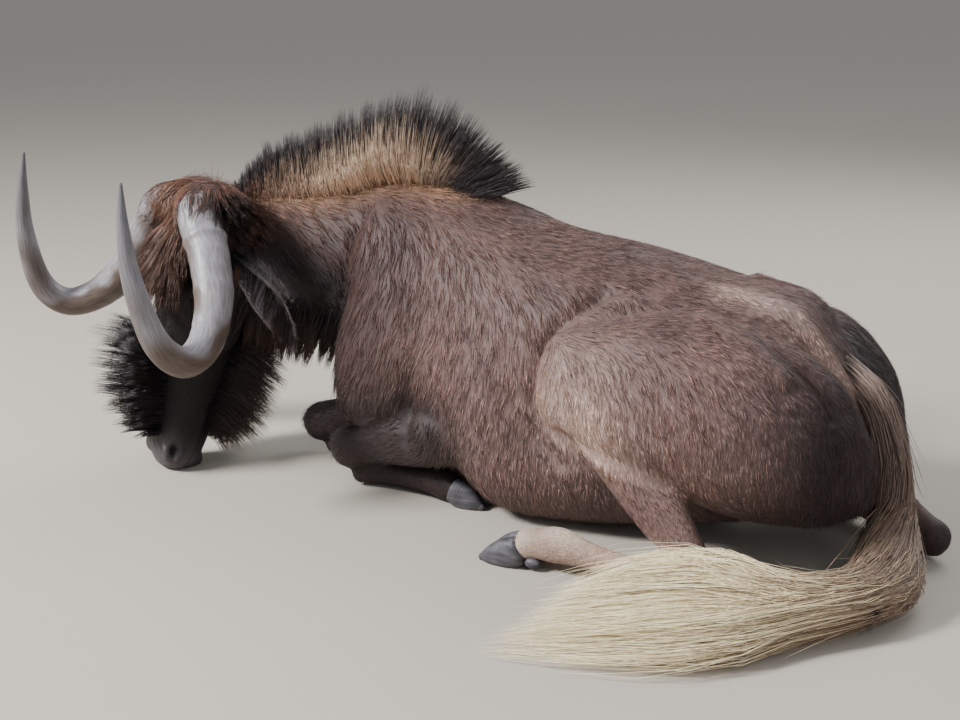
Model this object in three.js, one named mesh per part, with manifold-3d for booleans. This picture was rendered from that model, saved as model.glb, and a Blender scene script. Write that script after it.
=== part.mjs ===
// A black wildebeest bull, life size, lying on its chest with its head hanging to the ground.
// Millimetres, +Z up. The head is at -X, the animal's left side at -Y, and the floor is Z = 0.
import * as THREE from "three";
import { mergeVertices } from "three/addons/utils/BufferGeometryUtils.js";
import Module from "manifold-3d";

const wasm = await Module();
wasm.setup();

// Driving dimensions
const WITHERS_X = -765;
const WITHERS_Z = 566;
const CROUP_X = -85;
const CROUP_Z = 432;
const RUMP_X = 28;
const CHEST_FRONT_X = -950;
const BELLY_HALF = 238;
const SHOULDER_HALF = 190;
const PELVIS_HALF = 160;
const HEAD_AT = [-1201, -178, 502];
const HEAD_YAW = 68.3;
const HEAD_PITCH = 10.5;
const HEAD_LENGTH = 516;
const HORN_BASE_RADIUS = 41;
const EYE_RADIUS = 20;
const CLAW_WIDTH = 34;
const GAP = 0.5;
const CUT = 0.4;
// Corners of the locks closer than this are merged.
const MERGE = 1.5;
// The middle of the model's footprint, which becomes the origin.
const CENTRE_X = -699;
const CENTRE_Y = -169;

const X = new THREE.Vector3(1, 0, 0);
const Y = new THREE.Vector3(0, 1, 0);
const UP = new THREE.Vector3(0, 0, 1);

// Looks
const COAT = { color: 0x4b3a2f, roughness: 0.85, metalness: 0 };
const DARK_COAT = { color: 0x241c18, roughness: 0.88, metalness: 0 };
const MANE = { color: 0x6d5540, roughness: 0.9, metalness: 0 };
const HORN = { color: 0x8f8a80, roughness: 0.55, metalness: 0 };
const HOOF = { color: 0x2a2d33, roughness: 0.45, metalness: 0 };
const EYE = { color: 0x1a120c, roughness: 0.1, metalness: 0 };
const BLOND = { color: 0xb49a72, roughness: 0.85, metalness: 0 };

// A closed geometry's solid, with its shared corners merged.
function solid(geometry) {
  const bare = geometry.clone();
  bare.deleteAttribute("normal");
  bare.deleteAttribute("uv");
  const merged = mergeVertices(bare, 1e-4);
  return new wasm.Manifold(
    new wasm.Mesh({
      numProp: 3,
      vertProperties: new Float32Array(merged.attributes.position.array),
      triVerts: new Uint32Array(merged.index.array),
    }),
  );
}

// A solid's triangles as a three.js geometry.
function geometryOf(body) {
  const mesh = body.getMesh();
  const points = new Float32Array(mesh.numVert * 3);
  for (let i = 0; i < mesh.numVert; i++) {
    points.set(mesh.vertProperties.subarray(i * mesh.numProp, i * mesh.numProp + 3), i * 3);
  }
  const geometry = new THREE.BufferGeometry();
  geometry.setAttribute("position", new THREE.BufferAttribute(points, 3));
  geometry.setIndex(new THREE.BufferAttribute(new Uint32Array(mesh.triVerts), 1));
  geometry.computeVertexNormals();
  return geometry;
}

function joined(bodies) {
  return bodies.reduce((all, body) => all.add(body));
}

// The largest closed surface of a solid, so that loose scraps and sealed hollows go.
function largest(body) {
  return body.decompose().reduce((best, piece) => (piece.volume() > best.volume() ? piece : best));
}

// The pieces of a solid after a cut, in order of the given coordinate of their middles.
function piecesAlong(body, axis) {
  const middle = (piece) => {
    const box = piece.boundingBox();
    return (box.min[axis] + box.max[axis]) / 2;
  };
  const big = body.decompose().filter((piece) => piece.volume() > 1e5);
  return big.sort((a, b) => middle(a) - middle(b));
}

// A value between stations, on a smooth curve through them.
function smooth(values, t) {
  const last = values.length - 1;
  const i = Math.min(Math.floor(t), last - 1);
  const f = t - i;
  const a = values[Math.max(i - 1, 0)];
  const b = values[i];
  const c = values[i + 1];
  const d = values[Math.min(i + 2, last)];
  return b + 0.5 * f * (c - a + f * (2 * a - 5 * b + 4 * c - d + f * (3 * (b - c) + d - a)));
}

// A round section's coordinate: 2 is an ellipse, more is boxy, less is ridged.
function power(value, n) {
  return Math.sign(value) * Math.abs(value) ** (2 / n);
}

// A closed body through stations, each a centre with a half-width, a height above and one below it.
// roundAbove and roundBelow shape the section, and each end closes in a dome of the given length.
function loft(stations, options = {}) {
  const { sides = 16, steps = 2, up = UP, across = null, domes = [10, 10], place = null } = options;
  const { grow = 0, dome = [0.6] } = options;
  const at = (key, t) => smooth(stations.map((s) => s[key]), t);
  const centre = (t) => new THREE.Vector3(...[0, 1, 2].map((k) => smooth(stations.map((s) => s.at[k]), t)));
  const last = stations.length - 1;
  const rings = [];
  const ring = (t, scale, shift) => {
    const ahead = centre(Math.min(t + 0.02, last)).sub(centre(Math.max(t - 0.02, 0))).normalize();
    const along = across ?? ahead;
    const side = along.clone().cross(up).normalize();
    const above = side.clone().cross(along).normalize();
    const middle = centre(t).addScaledVector(ahead, shift);
    const points = [];
    for (let k = 0; k < sides; k++) {
      const angle = (2 * Math.PI * k) / sides;
      const high = Math.sin(angle) >= 0;
      const n = at(high ? "roundAbove" : "roundBelow", t);
      const half = (at("half", t) + grow) * scale;
      const height = (at(high ? "above" : "below", t) + grow) * scale;
      points.push(
        middle
          .clone()
          .addScaledVector(side, half * power(Math.cos(angle), n))
          .addScaledVector(above, height * power(Math.sin(angle), n)),
      );
    }
    rings.push({ points, middle });
  };
  const startLength = domes[0] + grow;
  const endLength = domes[1] + grow;
  for (const bend of [...dome].reverse()) {
    ring(0, Math.cos((bend * Math.PI) / 2), -startLength * Math.sin((bend * Math.PI) / 2));
  }
  for (let i = 0; i <= last * steps; i++) ring(i / steps, 1, 0);
  for (const bend of dome) {
    ring(last, Math.cos((bend * Math.PI) / 2), endLength * Math.sin((bend * Math.PI) / 2));
  }
  const direction = (t0, t1) => centre(t1).sub(centre(t0)).normalize();
  const startPole = centre(0).addScaledVector(direction(0, 0.02), -startLength);
  const endPole = centre(last).addScaledVector(direction(last - 0.02, last), endLength);
  const points = [startPole, ...rings.flatMap((r) => r.points), endPole];
  const index = [];
  const corner = (r, k) => 1 + r * sides + (k % sides);
  for (let k = 0; k < sides; k++) {
    index.push(0, corner(0, k), corner(0, k + 1));
    index.push(points.length - 1, corner(rings.length - 1, k + 1), corner(rings.length - 1, k));
  }
  for (let r = 0; r < rings.length - 1; r++) {
    for (let k = 0; k < sides; k++) {
      index.push(corner(r, k), corner(r + 1, k), corner(r, k + 1));
      index.push(corner(r, k + 1), corner(r + 1, k), corner(r + 1, k + 1));
    }
  }
  const geometry = new THREE.BufferGeometry().setFromPoints(points);
  geometry.setIndex(index);
  if (place) geometry.applyMatrix4(place);
  return solid(geometry);
}

// A station whose section is upright: x, y, underside, widest height, top, half-width, roundness.
function upright(x, y, low, widest, high, half, roundAbove = 2, roundBelow = 2) {
  return { at: [x, y, widest], above: high - widest, below: widest - low, half, roundAbove, roundBelow };
}

// A station of a limb: centre, half-width and half-depth.
function round(x, y, z, half, depth = half, n = 2.1) {
  return { at: [x, y, z], above: depth, below: depth, half, roundAbove: n, roundBelow: n };
}

// A block with its faces square to the axes, from one corner to the other.
function block(low, high) {
  const size = high.map((value, k) => value - low[k]);
  const geometry = new THREE.BoxGeometry(...size);
  geometry.translate(...low.map((value, k) => value + size[k] / 2));
  return solid(geometry);
}

// A thin flat plate through a point, square to a direction, that parts a solid.
function plate(point, facing, size) {
  const geometry = new THREE.BoxGeometry(size, size, CUT);
  const turn = new THREE.Quaternion().setFromUnitVectors(UP, facing.clone().normalize());
  geometry.applyQuaternion(turn);
  geometry.translate(...point);
  return solid(geometry);
}

// A repeatable random draw between 0 and 1.
function drawFrom(seed) {
  let state = seed;
  return () => {
    state = (state * 1664525 + 1013904223) % 4294967296;
    return state / 4294967296;
  };
}

// A lock of hair: a flat blade with a low ridge that tapers to its tip, leaving its root along one
// direction and bending towards another. flat is the direction that its width lies in.
function lock(root, along, flat, { length, width, thick, bend, sink = 10, rows = [0, 0.38, 0.74] }) {
  const forward = along.clone().normalize();
  const face = forward.clone().cross(flat).normalize();
  const wide = face.clone().cross(forward).normalize();
  const spine = (t) =>
    root
      .clone()
      .addScaledVector(forward, -sink + (length + sink) * t)
      .addScaledVector(bend, length * t * t);
  const points = [];
  for (const t of rows) {
    const half = (width / 2) * (1 - t * t) ** 0.62;
    const deep = thick * (1 - t) ** 0.6;
    const middle = spine(t);
    points.push(middle.clone().addScaledVector(wide, half));
    points.push(middle.clone().addScaledVector(face, deep));
    points.push(middle.clone().addScaledVector(wide, -half));
  }
  points.push(spine(1));
  const tip = points.length - 1;
  const index = [0, 2, 1];
  for (let k = 0; k < 3; k++) {
    const next = (k + 1) % 3;
    for (let r = 0; r < rows.length - 1; r++) {
      const a = r * 3;
      index.push(a + k, a + next, a + 3 + k);
      index.push(a + next, a + 3 + next, a + 3 + k);
    }
    const end = (rows.length - 1) * 3;
    index.push(end + k, end + next, tip);
  }
  const geometry = new THREE.BufferGeometry().setFromPoints(points);
  geometry.setIndex(index);
  return solid(geometry);
}

const BELOW_FLOOR = block([-2500, -1500, -400], [1500, 1500, 0]);

const group = new THREE.Group();
group.position.set(-CENTRE_X, -CENTRE_Y, 0);

function add(name, body, look) {
  const mesh = new THREE.Mesh(geometryOf(largest(body)), new THREE.MeshStandardMaterial(look));
  mesh.name = name;
  group.add(mesh);
}

// Trunk: pelvis, loin, belly and chest, in upright sections from the rump to the front of the chest.
function trunk(grow) {
  const sections = [
    upright(RUMP_X, 2, 140, 215, 288, 84),
    upright(-28, 2, 85, 235, 376, 132, 1.9),
    upright(CROUP_X, 0, 50, 250, CROUP_Z, PELVIS_HALF, 2, 2.2),
    upright(-180, 0, 24, 250, 447, 176, 2.4, 2.4),
    upright(-290, 0, 4, 235, 466, 200, 2.6, 2.8),
    upright(-400, 0, -6, 215, 486, 224, 2.4, 3.2),
    upright(-540, 0, -10, 195, 507, BELLY_HALF, 2, 3.4),
    upright(-650, 0, -4, 205, 540, 222, 1.9, 2),
    upright(WITHERS_X, 0, -4, 230, WITHERS_Z, 203, 1.8, 1.6),
    upright(-860, 0, 4, 255, 560, SHOULDER_HALF, 1.9, 1.5),
    upright(-915, 0, 30, 270, 520, 150, 2, 1.7),
    upright(CHEST_FRONT_X, 0, 90, 280, 450, 105, 2, 1.9),
  ];
  const domes = [30, 22];
  return loft(sections, { sides: 20, across: X.clone().negate(), domes, grow, dome: [0.35, 0.75] });
}

// Neck: level from the withers to the back of the head, bending to the animal's left.
function neckForm(grow) {
  const station = (x, y, z, above, below, half, roundAbove = 1.9) => {
    return { at: [x, y, z], above, below, half, roundAbove, roundBelow: 2 };
  };
  const sections = [
    station(-700, 4, 400, 150, 150, 120),
    station(-855, 6, 390, 178, 182, 168, 1.8),
    station(-950, 0, 396, 166, 160, 136, 1.8),
    station(-1050, -32, 415, 128, 134, 112),
    station(-1125, -80, 425, 108, 132, 98),
    station(-1172, -135, 425, 90, 112, 82),
  ];
  return loft(sections, { sides: 18, domes: [10, 20], grow });
}

// Head axes: forward is the way the face points, down the face is the way the muzzle points.
const yaw = THREE.MathUtils.degToRad(HEAD_YAW);
const pitch = THREE.MathUtils.degToRad(HEAD_PITCH);
const level = new THREE.Vector3(-Math.cos(yaw), -Math.sin(yaw), 0);
const FACE = level.clone().multiplyScalar(Math.cos(pitch)).addScaledVector(UP, Math.sin(pitch));
const DOWN_FACE = level.clone().multiplyScalar(Math.sin(pitch)).addScaledVector(UP, -Math.cos(pitch));
const LEFT = FACE.clone().cross(DOWN_FACE);
const HEAD = new THREE.Matrix4().makeBasis(FACE, DOWN_FACE, LEFT).setPosition(...HEAD_AT);

// A head section: distance down the face, its front and back measured forward, and half-width.
function faceStation(down, front, back, half, roundAbove = 2.4, roundBelow = 1.8) {
  const middle = back + (front - back) * 0.55;
  return { at: [middle, down, 0], above: front - middle, below: middle - back, half, roundAbove, roundBelow };
}

// Skull and muzzle, from the poll to the lips.
function headForm(grow) {
  const sections = [
    faceStation(0, 45, -62, 52),
    faceStation(35, 78, -95, 78),
    faceStation(85, 96, -108, 88),
    faceStation(145, 94, -108, 91),
    faceStation(205, 85, -104, 74),
    faceStation(275, 78, -88, 61),
    faceStation(345, 74, -70, 54),
    faceStation(410, 72, -56, 52, 2.6),
    faceStation(460, 70, -46, 57, 2.8),
    faceStation(HEAD_LENGTH - 14, 52, -34, 50, 2.6),
  ];
  return loft(sections, { sides: 20, up: X, domes: [14, 14], place: HEAD, grow, dome: [0.35, 0.75] });
}

// The horn's middle line down, forward and out of the head, with its radius along it.
const HORN_LINE = [
  { down: 5, forward: 42, out: 28, radius: HORN_BASE_RADIUS },
  { down: 22, forward: 62, out: 78, radius: HORN_BASE_RADIUS },
  { down: 82, forward: 62, out: 140, radius: 39 },
  { down: 156, forward: 70, out: 200, radius: 36 },
  { down: 222, forward: 102, out: 254, radius: 32 },
  { down: 250, forward: 155, out: 288, radius: 28 },
  { down: 215, forward: 212, out: 292, radius: 24 },
  { down: 120, forward: 258, out: 276, radius: 18 },
  { down: 35, forward: 278, out: 260, radius: 11 },
  { down: -39, forward: 287, out: 250, radius: 2.5 },
];

// One horn: side is 1 on the animal's left and -1 on its right.
function horn(side, grow) {
  const sections = HORN_LINE.map(({ down, forward, out, radius }) =>
    round(forward, down, out * side, radius, radius * 0.94, 2),
  );
  const up = new THREE.Vector3(0.3, 1, 0);
  return loft(sections, { sides: 9, up, domes: [6, 6], place: HEAD, grow });
}

// Nostril: a slanting comma-shaped hollow on each side of the muzzle.
const NOSTRIL_AT = { forward: 44, down: 474, out: 47 };

function nostril(side) {
  const hollow = new THREE.SphereGeometry(1, 8, 6);
  hollow.scale(8, 15, 13);
  hollow.rotateZ(-0.5);
  hollow.translate(NOSTRIL_AT.forward, NOSTRIL_AT.down, NOSTRIL_AT.out * side);
  hollow.applyMatrix4(HEAD);
  return solid(hollow);
}

// Nostril rim: a fleshy swelling that the hollow opens in.
function nostrilRim(side) {
  const rim = new THREE.SphereGeometry(1, 10, 7);
  rim.scale(16, 23, 12);
  rim.rotateZ(-0.5);
  rim.translate(NOSTRIL_AT.forward, NOSTRIL_AT.down, (NOSTRIL_AT.out - 4) * side);
  rim.applyMatrix4(HEAD);
  return solid(rim);
}

// Mouth line: where the plane between the jaws meets the lips, back to the corner of the mouth.
const JAW_SLOPE = 0.22;
const JAW_AT = { forward: -44, down: 330 };

function mouthGroove(side) {
  const along = [
    [388, 39],
    [430, 42],
    [470, 46],
    [498, 44],
  ];
  const sections = along.map(([down, out]) => {
    const forward = JAW_AT.forward + JAW_SLOPE * (down - JAW_AT.down);
    return round(forward, down, out * side, 4, 4, 2);
  });
  return loft(sections, { sides: 4, steps: 1, up: X, domes: [8, 4], dome: [], place: HEAD });
}

const EYE_AT = { forward: 44, down: 150, out: 74 };

function ball(radius, { forward, down, out }, side) {
  const sphere = new THREE.SphereGeometry(radius, 11, 7);
  sphere.translate(forward, down, out * side);
  sphere.applyMatrix4(HEAD);
  return solid(sphere);
}

// The slit between the lids: a flat almond, longer down the face than it is high.
function lidSlit(side) {
  const almond = new THREE.SphereGeometry(1, 10, 4);
  almond.scale(9.5, 17, 40);
  almond.rotateZ(0.35);
  almond.translate(EYE_AT.forward + 3, EYE_AT.down, (EYE_AT.out + 30) * side);
  almond.applyMatrix4(HEAD);
  return solid(almond);
}

// Ear: a pointed leaf behind the horn that hangs back and down, cupped to the front and outside.
function ear(side, grow, inner) {
  const scale = inner ? 0.74 : 1;
  const lift = inner ? 9 : 0;
  const section = (down, forward, out, half, depth) => ({
    at: [forward + lift * 0.6, down, (out + lift) * side],
    above: depth * scale,
    below: depth * scale,
    half: half * scale,
    roundAbove: 2,
    roundBelow: 2,
  });
  const sections = [
    section(98, -34, 72, 20, 18),
    section(128, -60, 92, 26, 19),
    section(165, -90, 104, 29, 15),
    section(205, -120, 108, 24, 11),
    section(240, -146, 106, 12, 6),
    section(256, -158, 104, 3, 2.5),
  ];
  const outward = new THREE.Vector3(0.6, 0, side);
  return loft(sections, { sides: 10, steps: 1, up: outward, domes: [4, 2], place: HEAD, grow });
}

function mix(a, b, t) {
  return a.map((value, k) => value + (b[k] - value) * t);
}

// Hind legs, folded forward along the floor: the left is drawn further forward than the right.
const HIND = {
  left: {
    side: -1,
    rear: 72,
    stifle: [-365, -222, 270],
    hock: [-104, -288, 38],
    fetlock: [-345, -314, 46],
    toe: [-478, -322, 6],
    sink: 0,
    drop: 0,
  },
  right: {
    side: 1,
    rear: 52,
    stifle: [-250, 206, 205],
    hock: [134, 72, 38],
    fetlock: [-86, 206, 44],
    toe: [-206, 262, 6],
    sink: 45,
    drop: 40,
  },
};

function thigh({ rear, stifle, side, sink, drop }, grow) {
  const section = (t, out, low, middle, high, half) =>
    upright(rear + (stifle[0] - rear) * t, out * side, low - sink, middle - sink / 2, high - drop, half);
  const sections = [
    section(0, 112, 112, 180, 262, 50),
    section(0.13, 128, 92, 205, 345, 112),
    section(0.37, 148, 94, 222, 404, 148),
    section(0.62, 165, 120, 242, 424, 142),
    section(0.85, 192, 160, 262, 410, 114),
    section(1, 216, 205, 275, 366, 80),
  ];
  return loft(sections, { sides: 18, across: X.clone().negate(), domes: [22, 20], grow, dome: [0.35, 0.75] });
}

function shank({ stifle, hock }, grow) {
  const start = [stifle[0], stifle[1] * 0.9, stifle[2]];
  const sections = [
    round(...mix(start, hock, 0.08), 60, 62),
    round(...mix(start, hock, 0.3), 50, 66),
    round(...mix(start, hock, 0.58), 37, 62),
    round(...mix(start, hock, 0.82), 27, 42),
    round(...hock, 26, 33),
  ];
  return loft(sections, { sides: 11, domes: [12, 14], grow });
}

// Dewclaws: two small horny points behind the fetlock.
function dewclaws({ fetlock, toe }, forward) {
  const at = mix(fetlock, toe, 0.2);
  return joined(
    [-1, 1].map((way) => {
      const cone = new THREE.ConeGeometry(9, 34, 5);
      cone.rotateZ((forward * Math.PI) / 2.3);
      cone.translate(at[0] + 10 * forward, at[1] + 15 * way, 19);
      return solid(cone);
    }),
  );
}

function hindFoot({ hock, fetlock, toe }, grow) {
  const pastern = mix(fetlock, toe, 0.5);
  pastern[2] = fetlock[2] - 8;
  const sections = [
    round(hock[0] + 8, hock[1], hock[2] - 2, 23, 30),
    round(...mix(hock, fetlock, 0.12).map((v, k) => (k === 2 ? v - 8 : v)), 25, 31),
    round(...mix(hock, fetlock, 0.4).map((v, k) => (k === 2 ? v - 12 : v)), 20, 23),
    round(...mix(hock, fetlock, 0.75).map((v, k) => (k === 2 ? v - 6 : v)), 20, 23),
    round(...fetlock, 28, 32),
    round(...mix(fetlock, pastern, 0.5), 26, 28),
    round(...pastern, 31, 27),
  ];
  return loft(sections, { sides: 10, steps: 1, domes: [12, 0.2], grow });
}

// One claw of a cloven hoof, from its coronet to its toe; apart is its offset across the foot.
function claw(coronet, toe, apart, width, grow) {
  const length = Math.hypot(toe[0] - coronet[0], toe[1] - coronet[1]);
  const across = [(coronet[1] - toe[1]) / length, (toe[0] - coronet[0]) / length, 0];
  const section = (t, half, above, below) => {
    const at = mix(coronet, toe, t).map((value, k) => value + across[k] * apart);
    return { at, above, below, half, roundAbove: 2.2, roundBelow: 3 };
  };
  const sections = [
    section(0, width * 0.46, 22, 27),
    section(0.4, width * 0.48, 22, 30),
    section(0.75, width * 0.42, 15, 20),
    section(1, width * 0.2, 6, 9),
  ];
  return loft(sections, { sides: 8, steps: 1, domes: [0.2, 4], dome: [], grow });
}

// Forelegs, folded under the chest: forearm forward to the knee, then the cannon back under it.
const FORE = {
  left: {
    elbow: [-668, -172, 136],
    knee: [-882, -174, 76],
    cannonTop: [-872, -160, 34],
    fetlock: [-700, -144, 32],
    toe: [-606, -138, 8],
  },
  right: {
    elbow: [-800, 74, 140],
    knee: [-1046, -58, 66],
    cannonTop: [-1036, -46, 32],
    fetlock: [-886, 52, 30],
    toe: [-800, 108, 8],
  },
};

function forearm({ elbow, knee }, grow) {
  const sections = [
    round(...mix(elbow, knee, -0.34), 30, 40),
    round(...mix(elbow, knee, -0.06), 54, 58),
    round(...mix(elbow, knee, 0.3), 52, 56),
    round(...mix(elbow, knee, 0.72), 40, 42),
    round(...mix(elbow, knee, 0.95), 42, 44),
    round(...mix(elbow, knee, 1.05), 36, 38),
  ];
  return loft(sections, { sides: 11, domes: [20, 18], grow });
}

function cannon({ cannonTop, fetlock, toe }, grow) {
  const sections = [
    round(...cannonTop, 26, 34),
    round(...mix(cannonTop, fetlock, 0.3), 20, 25),
    round(...mix(cannonTop, fetlock, 0.75), 20, 24),
    round(...fetlock, 26, 30),
    round(...mix(fetlock, toe, 0.42), 28, 26),
  ];
  return loft(sections, { sides: 10, steps: 1, domes: [12, 0.2], grow });
}

// The hollow under the chest that a folded cannon and its hooves lie in.
function legRoom({ cannonTop, fetlock, toe }) {
  const sections = [
    round(...mix(cannonTop, toe, -0.06), 34, 44),
    round(...fetlock, 38, 42),
    round(...mix(fetlock, toe, 0.6), 40, 44),
    round(...mix(fetlock, toe, 1.12), 34, 34),
  ];
  return loft(sections, { sides: 8, steps: 1, domes: [4, 4] });
}

// Tail: down the rump, then along the floor past the left hock to the tip of the tuft.
const TAIL_LINE = [
  round(-20, 0, 325, 30, 26),
  round(46, -4, 275, 31, 27),
  round(82, -14, 190, 34, 30),
  round(94, -28, 130, 38, 32),
  round(110, -60, 84, 44, 36),
  round(130, -150, 42, 60, 38),
  round(128, -270, 34, 78, 36),
  round(82, -375, 32, 92, 36),
  round(-10, -452, 32, 98, 36),
  round(-130, -524, 26, 76, 28),
  round(-230, -572, 14, 34, 14),
  round(-278, -588, 8, 6, 6),
];

// The dock is whole to the floor. Past it a thinner core carries the tuft, to half its length.
function tailCore() {
  const sections = TAIL_LINE.slice(0, 9).map((station, i) => {
    const thin = i < 3 ? 1 : 0.62;
    return { ...station, half: station.half * thin, above: station.above * (i < 3 ? 1 : 0.8) };
  });
  return loft(sections, { sides: 9, steps: 1, domes: [8, 30] });
}

// Mane: the crest from behind the withers to the poll, with the length of the hair along it.
const CREST = [
  { at: [-690, 0, 545], hair: 50 },
  { at: [-765, 0, 560], hair: 120 },
  { at: [-850, 0, 562], hair: 160 },
  { at: [-950, -10, 553], hair: 160 },
  { at: [-1050, -44, 535], hair: 128 },
  { at: [-1135, -92, 524], hair: 96 },
  { at: [-1190, -140, 508], hair: 72 },
];

function crestAt(t) {
  const place = new THREE.Vector3(...[0, 1, 2].map((k) => smooth(CREST.map((c) => c.at[k]), t)));
  return { place, hair: smooth(CREST.map((c) => c.hair), t) };
}

// The mane's core stands to under half the height of the hair, and rows of locks clothe both its
// sides and its top. The locks lean back over the withers and forward at the poll.
const MANE_ROWS = [
  { side: -24, rise: 0, reach: 0.8, splay: -0.15, count: 13 },
  { side: 24, rise: 0, reach: 0.8, splay: 0.15, count: 13 },
  { side: -8, rise: 0.3, reach: 0.72, splay: -0.05, count: 10 },
  { side: 8, rise: 0.3, reach: 0.72, splay: 0.05, count: 10 },
];

function maneCore() {
  const sections = CREST.map(({ at, hair }) => {
    return { at, above: hair * 0.42, below: 30, half: 26, roundAbove: 1.7, roundBelow: 2 };
  });
  return loft(sections, { sides: 8, steps: 1, domes: [10, 16] });
}

function mane() {
  const draw = drawFrom(11);
  const last = CREST.length - 1;
  const locks = [];
  for (const { side, rise, reach, splay, count } of MANE_ROWS) {
    for (let i = 0; i < count; i++) {
      const t = Math.min(Math.max(((i + 0.3 + 0.4 * draw()) / count) * last, 0.02), last - 0.02);
      const { place, hair } = crestAt(t);
      const along = crestAt(Math.min(t + 0.1, last)).place.sub(crestAt(Math.max(t - 0.1, 0)).place).normalize();
      const outward = along.clone().cross(UP).normalize();
      const lean = t < 1.6 ? 0.9 - 0.62 * t : -0.1 * (t - 1.6) - 0.05;
      const direction = UP.clone()
        .addScaledVector(along, -lean + 0.16 * (draw() - 0.5))
        .addScaledVector(outward, -splay + 0.08 * (draw() - 0.5));
      const root = place.clone().addScaledVector(outward, -side).addScaledVector(UP, hair * rise);
      locks.push(
        lock(root, direction, along.clone().multiplyScalar(Math.sign(side)), {
          length: hair * reach * (0.84 + 0.3 * draw()),
          width: 52,
          thick: 9,
          bend: along
            .clone()
            .multiplyScalar(-0.36 * lean + 0.5 * (draw() - 0.5))
            .addScaledVector(outward, -splay * 0.9),
          sink: 8,
          rows: [0, 0.45, 0.8],
        }),
      );
    }
  }
  return joined([maneCore(), ...locks]).simplify(MERGE);
}

// Locks set in a grid on the head. Places and directions are down the face, forward and out.
function headLocks(seed, { down, out, ways }, rootForward, aim, size) {
  const draw = drawFrom(seed);
  const [rows, columns] = ways;
  const locks = [];
  for (let i = 0; i < rows; i++) {
    for (let j = 0; j < columns; j++) {
      const u = (i + 0.25 + 0.5 * draw()) / rows;
      const v = columns > 1 ? (j / (columns - 1)) * 2 - 1 : 0;
      const a = down[0] + (down[1] - down[0]) * u;
      const l = out * v + 5 * (draw() - 0.5);
      const { f, d, o, droop } = aim(u, v);
      const ridge = v < 0 ? -Math.sign(f) : Math.sign(f);
      const root = new THREE.Vector3(rootForward(a, l), a, l).applyMatrix4(HEAD);
      const along = FACE.clone()
        .multiplyScalar(f)
        .addScaledVector(DOWN_FACE, d + 0.24 * (draw() - 0.5))
        .addScaledVector(LEFT, o + 0.2 * (draw() - 0.5));
      const { length, width, thick } = size(u, v);
      locks.push(
        lock(root, along, DOWN_FACE.clone().multiplyScalar(ridge).addScaledVector(LEFT, 0.6 * (draw() - 0.5)), {
          length: length * (0.88 + 0.24 * draw()),
          width,
          thick,
          bend: DOWN_FACE.clone().multiplyScalar(droop),
          sink: 12,
        }),
      );
    }
  }
  return joined(locks).simplify(MERGE);
}

// Reddish-brown hair over the poll and forehead, lying down and forward between the horns.
function foreheadTuft() {
  return headLocks(
    23,
    { down: [-6, 150], out: 40, ways: [4, 3] },
    (a, l) => smooth([44, 84, 98, 95, 90], Math.max(0, a + 6) / 42) - 0.006 * l * l,
    (u, v) => ({ f: 1, d: 0.35 + 0.6 * u, o: 0.4 * v, droop: 0.4 }),
    () => ({ length: 60, width: 56, thick: 15 }),
  );
}

// The stiff black brush down the bridge of the nose, standing forward.
function noseBrush() {
  return headLocks(
    31,
    { down: [236, 446], out: 26, ways: [6, 3] },
    (a, l) => 74 - 0.008 * l * l,
    (u, v) => ({ f: 1, d: 0.3 * (u - 0.75), o: 0.34 * v, droop: 0.14 }),
    (u) => ({ length: 112 - 66 * Math.abs(u - 0.38) ** 1.4, width: 50, thick: 12 }),
  );
}

// The beard under the jaw, standing back and drooping to the ground.
function beard() {
  return headLocks(
    47,
    { down: [205, 436], out: 23, ways: [5, 3] },
    (a) => smooth([-104, -88, -70, -56, -48], (a - 205) / 68) + 8,
    (u, v) => ({ f: -1, d: 0.1 + 0.16 * u, o: 0.22 * v, droop: 0.28 * (1 - u) }),
    (u) => ({ length: 124 - 60 * Math.abs(u - 0.45) ** 1.3, width: 50, thick: 13 }),
  );
}

// Bristly hair on the front of the chest, hanging down and forward between the forelegs.
function chestHair() {
  const draw = drawFrom(59);
  const locks = [];
  for (let i = 0; i < 3; i++) {
    for (let j = 0; j < 4; j++) {
      const across = -84 + (168 * (j + 0.5 * (i % 2))) / 3.5 + 10 * (draw() - 0.5);
      const high = 196 - 48 * i;
      const front = CHEST_FRONT_X + 2 + 22 * (i / 2) ** 2 + 0.0042 * across * across;
      const along = new THREE.Vector3(-0.75, 0.002 * across, -1 + 0.14 * i);
      locks.push(
        lock(new THREE.Vector3(front, across, high), along, Y, {
          length: Math.min(92, high * 0.82) * (0.85 + 0.3 * draw()),
          width: 58,
          thick: 13,
          bend: new THREE.Vector3(0.16, 0, -0.1),
          sink: 16,
        }),
      );
    }
  }
  return joined(locks);
}

// The tail's hair: locks along the lower dock and the tuft, each following the tail's line and
// spreading from it. The core ends half way along the tuft.
function tailAt(t) {
  return new THREE.Vector3(...[0, 1, 2].map((k) => smooth(TAIL_LINE.map((s) => s.at[k]), t)));
}

const TAIL_REACH = [70, 76, 84, 100, 130, 180, 220, 244, 240, 150, 80, 40];

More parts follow.
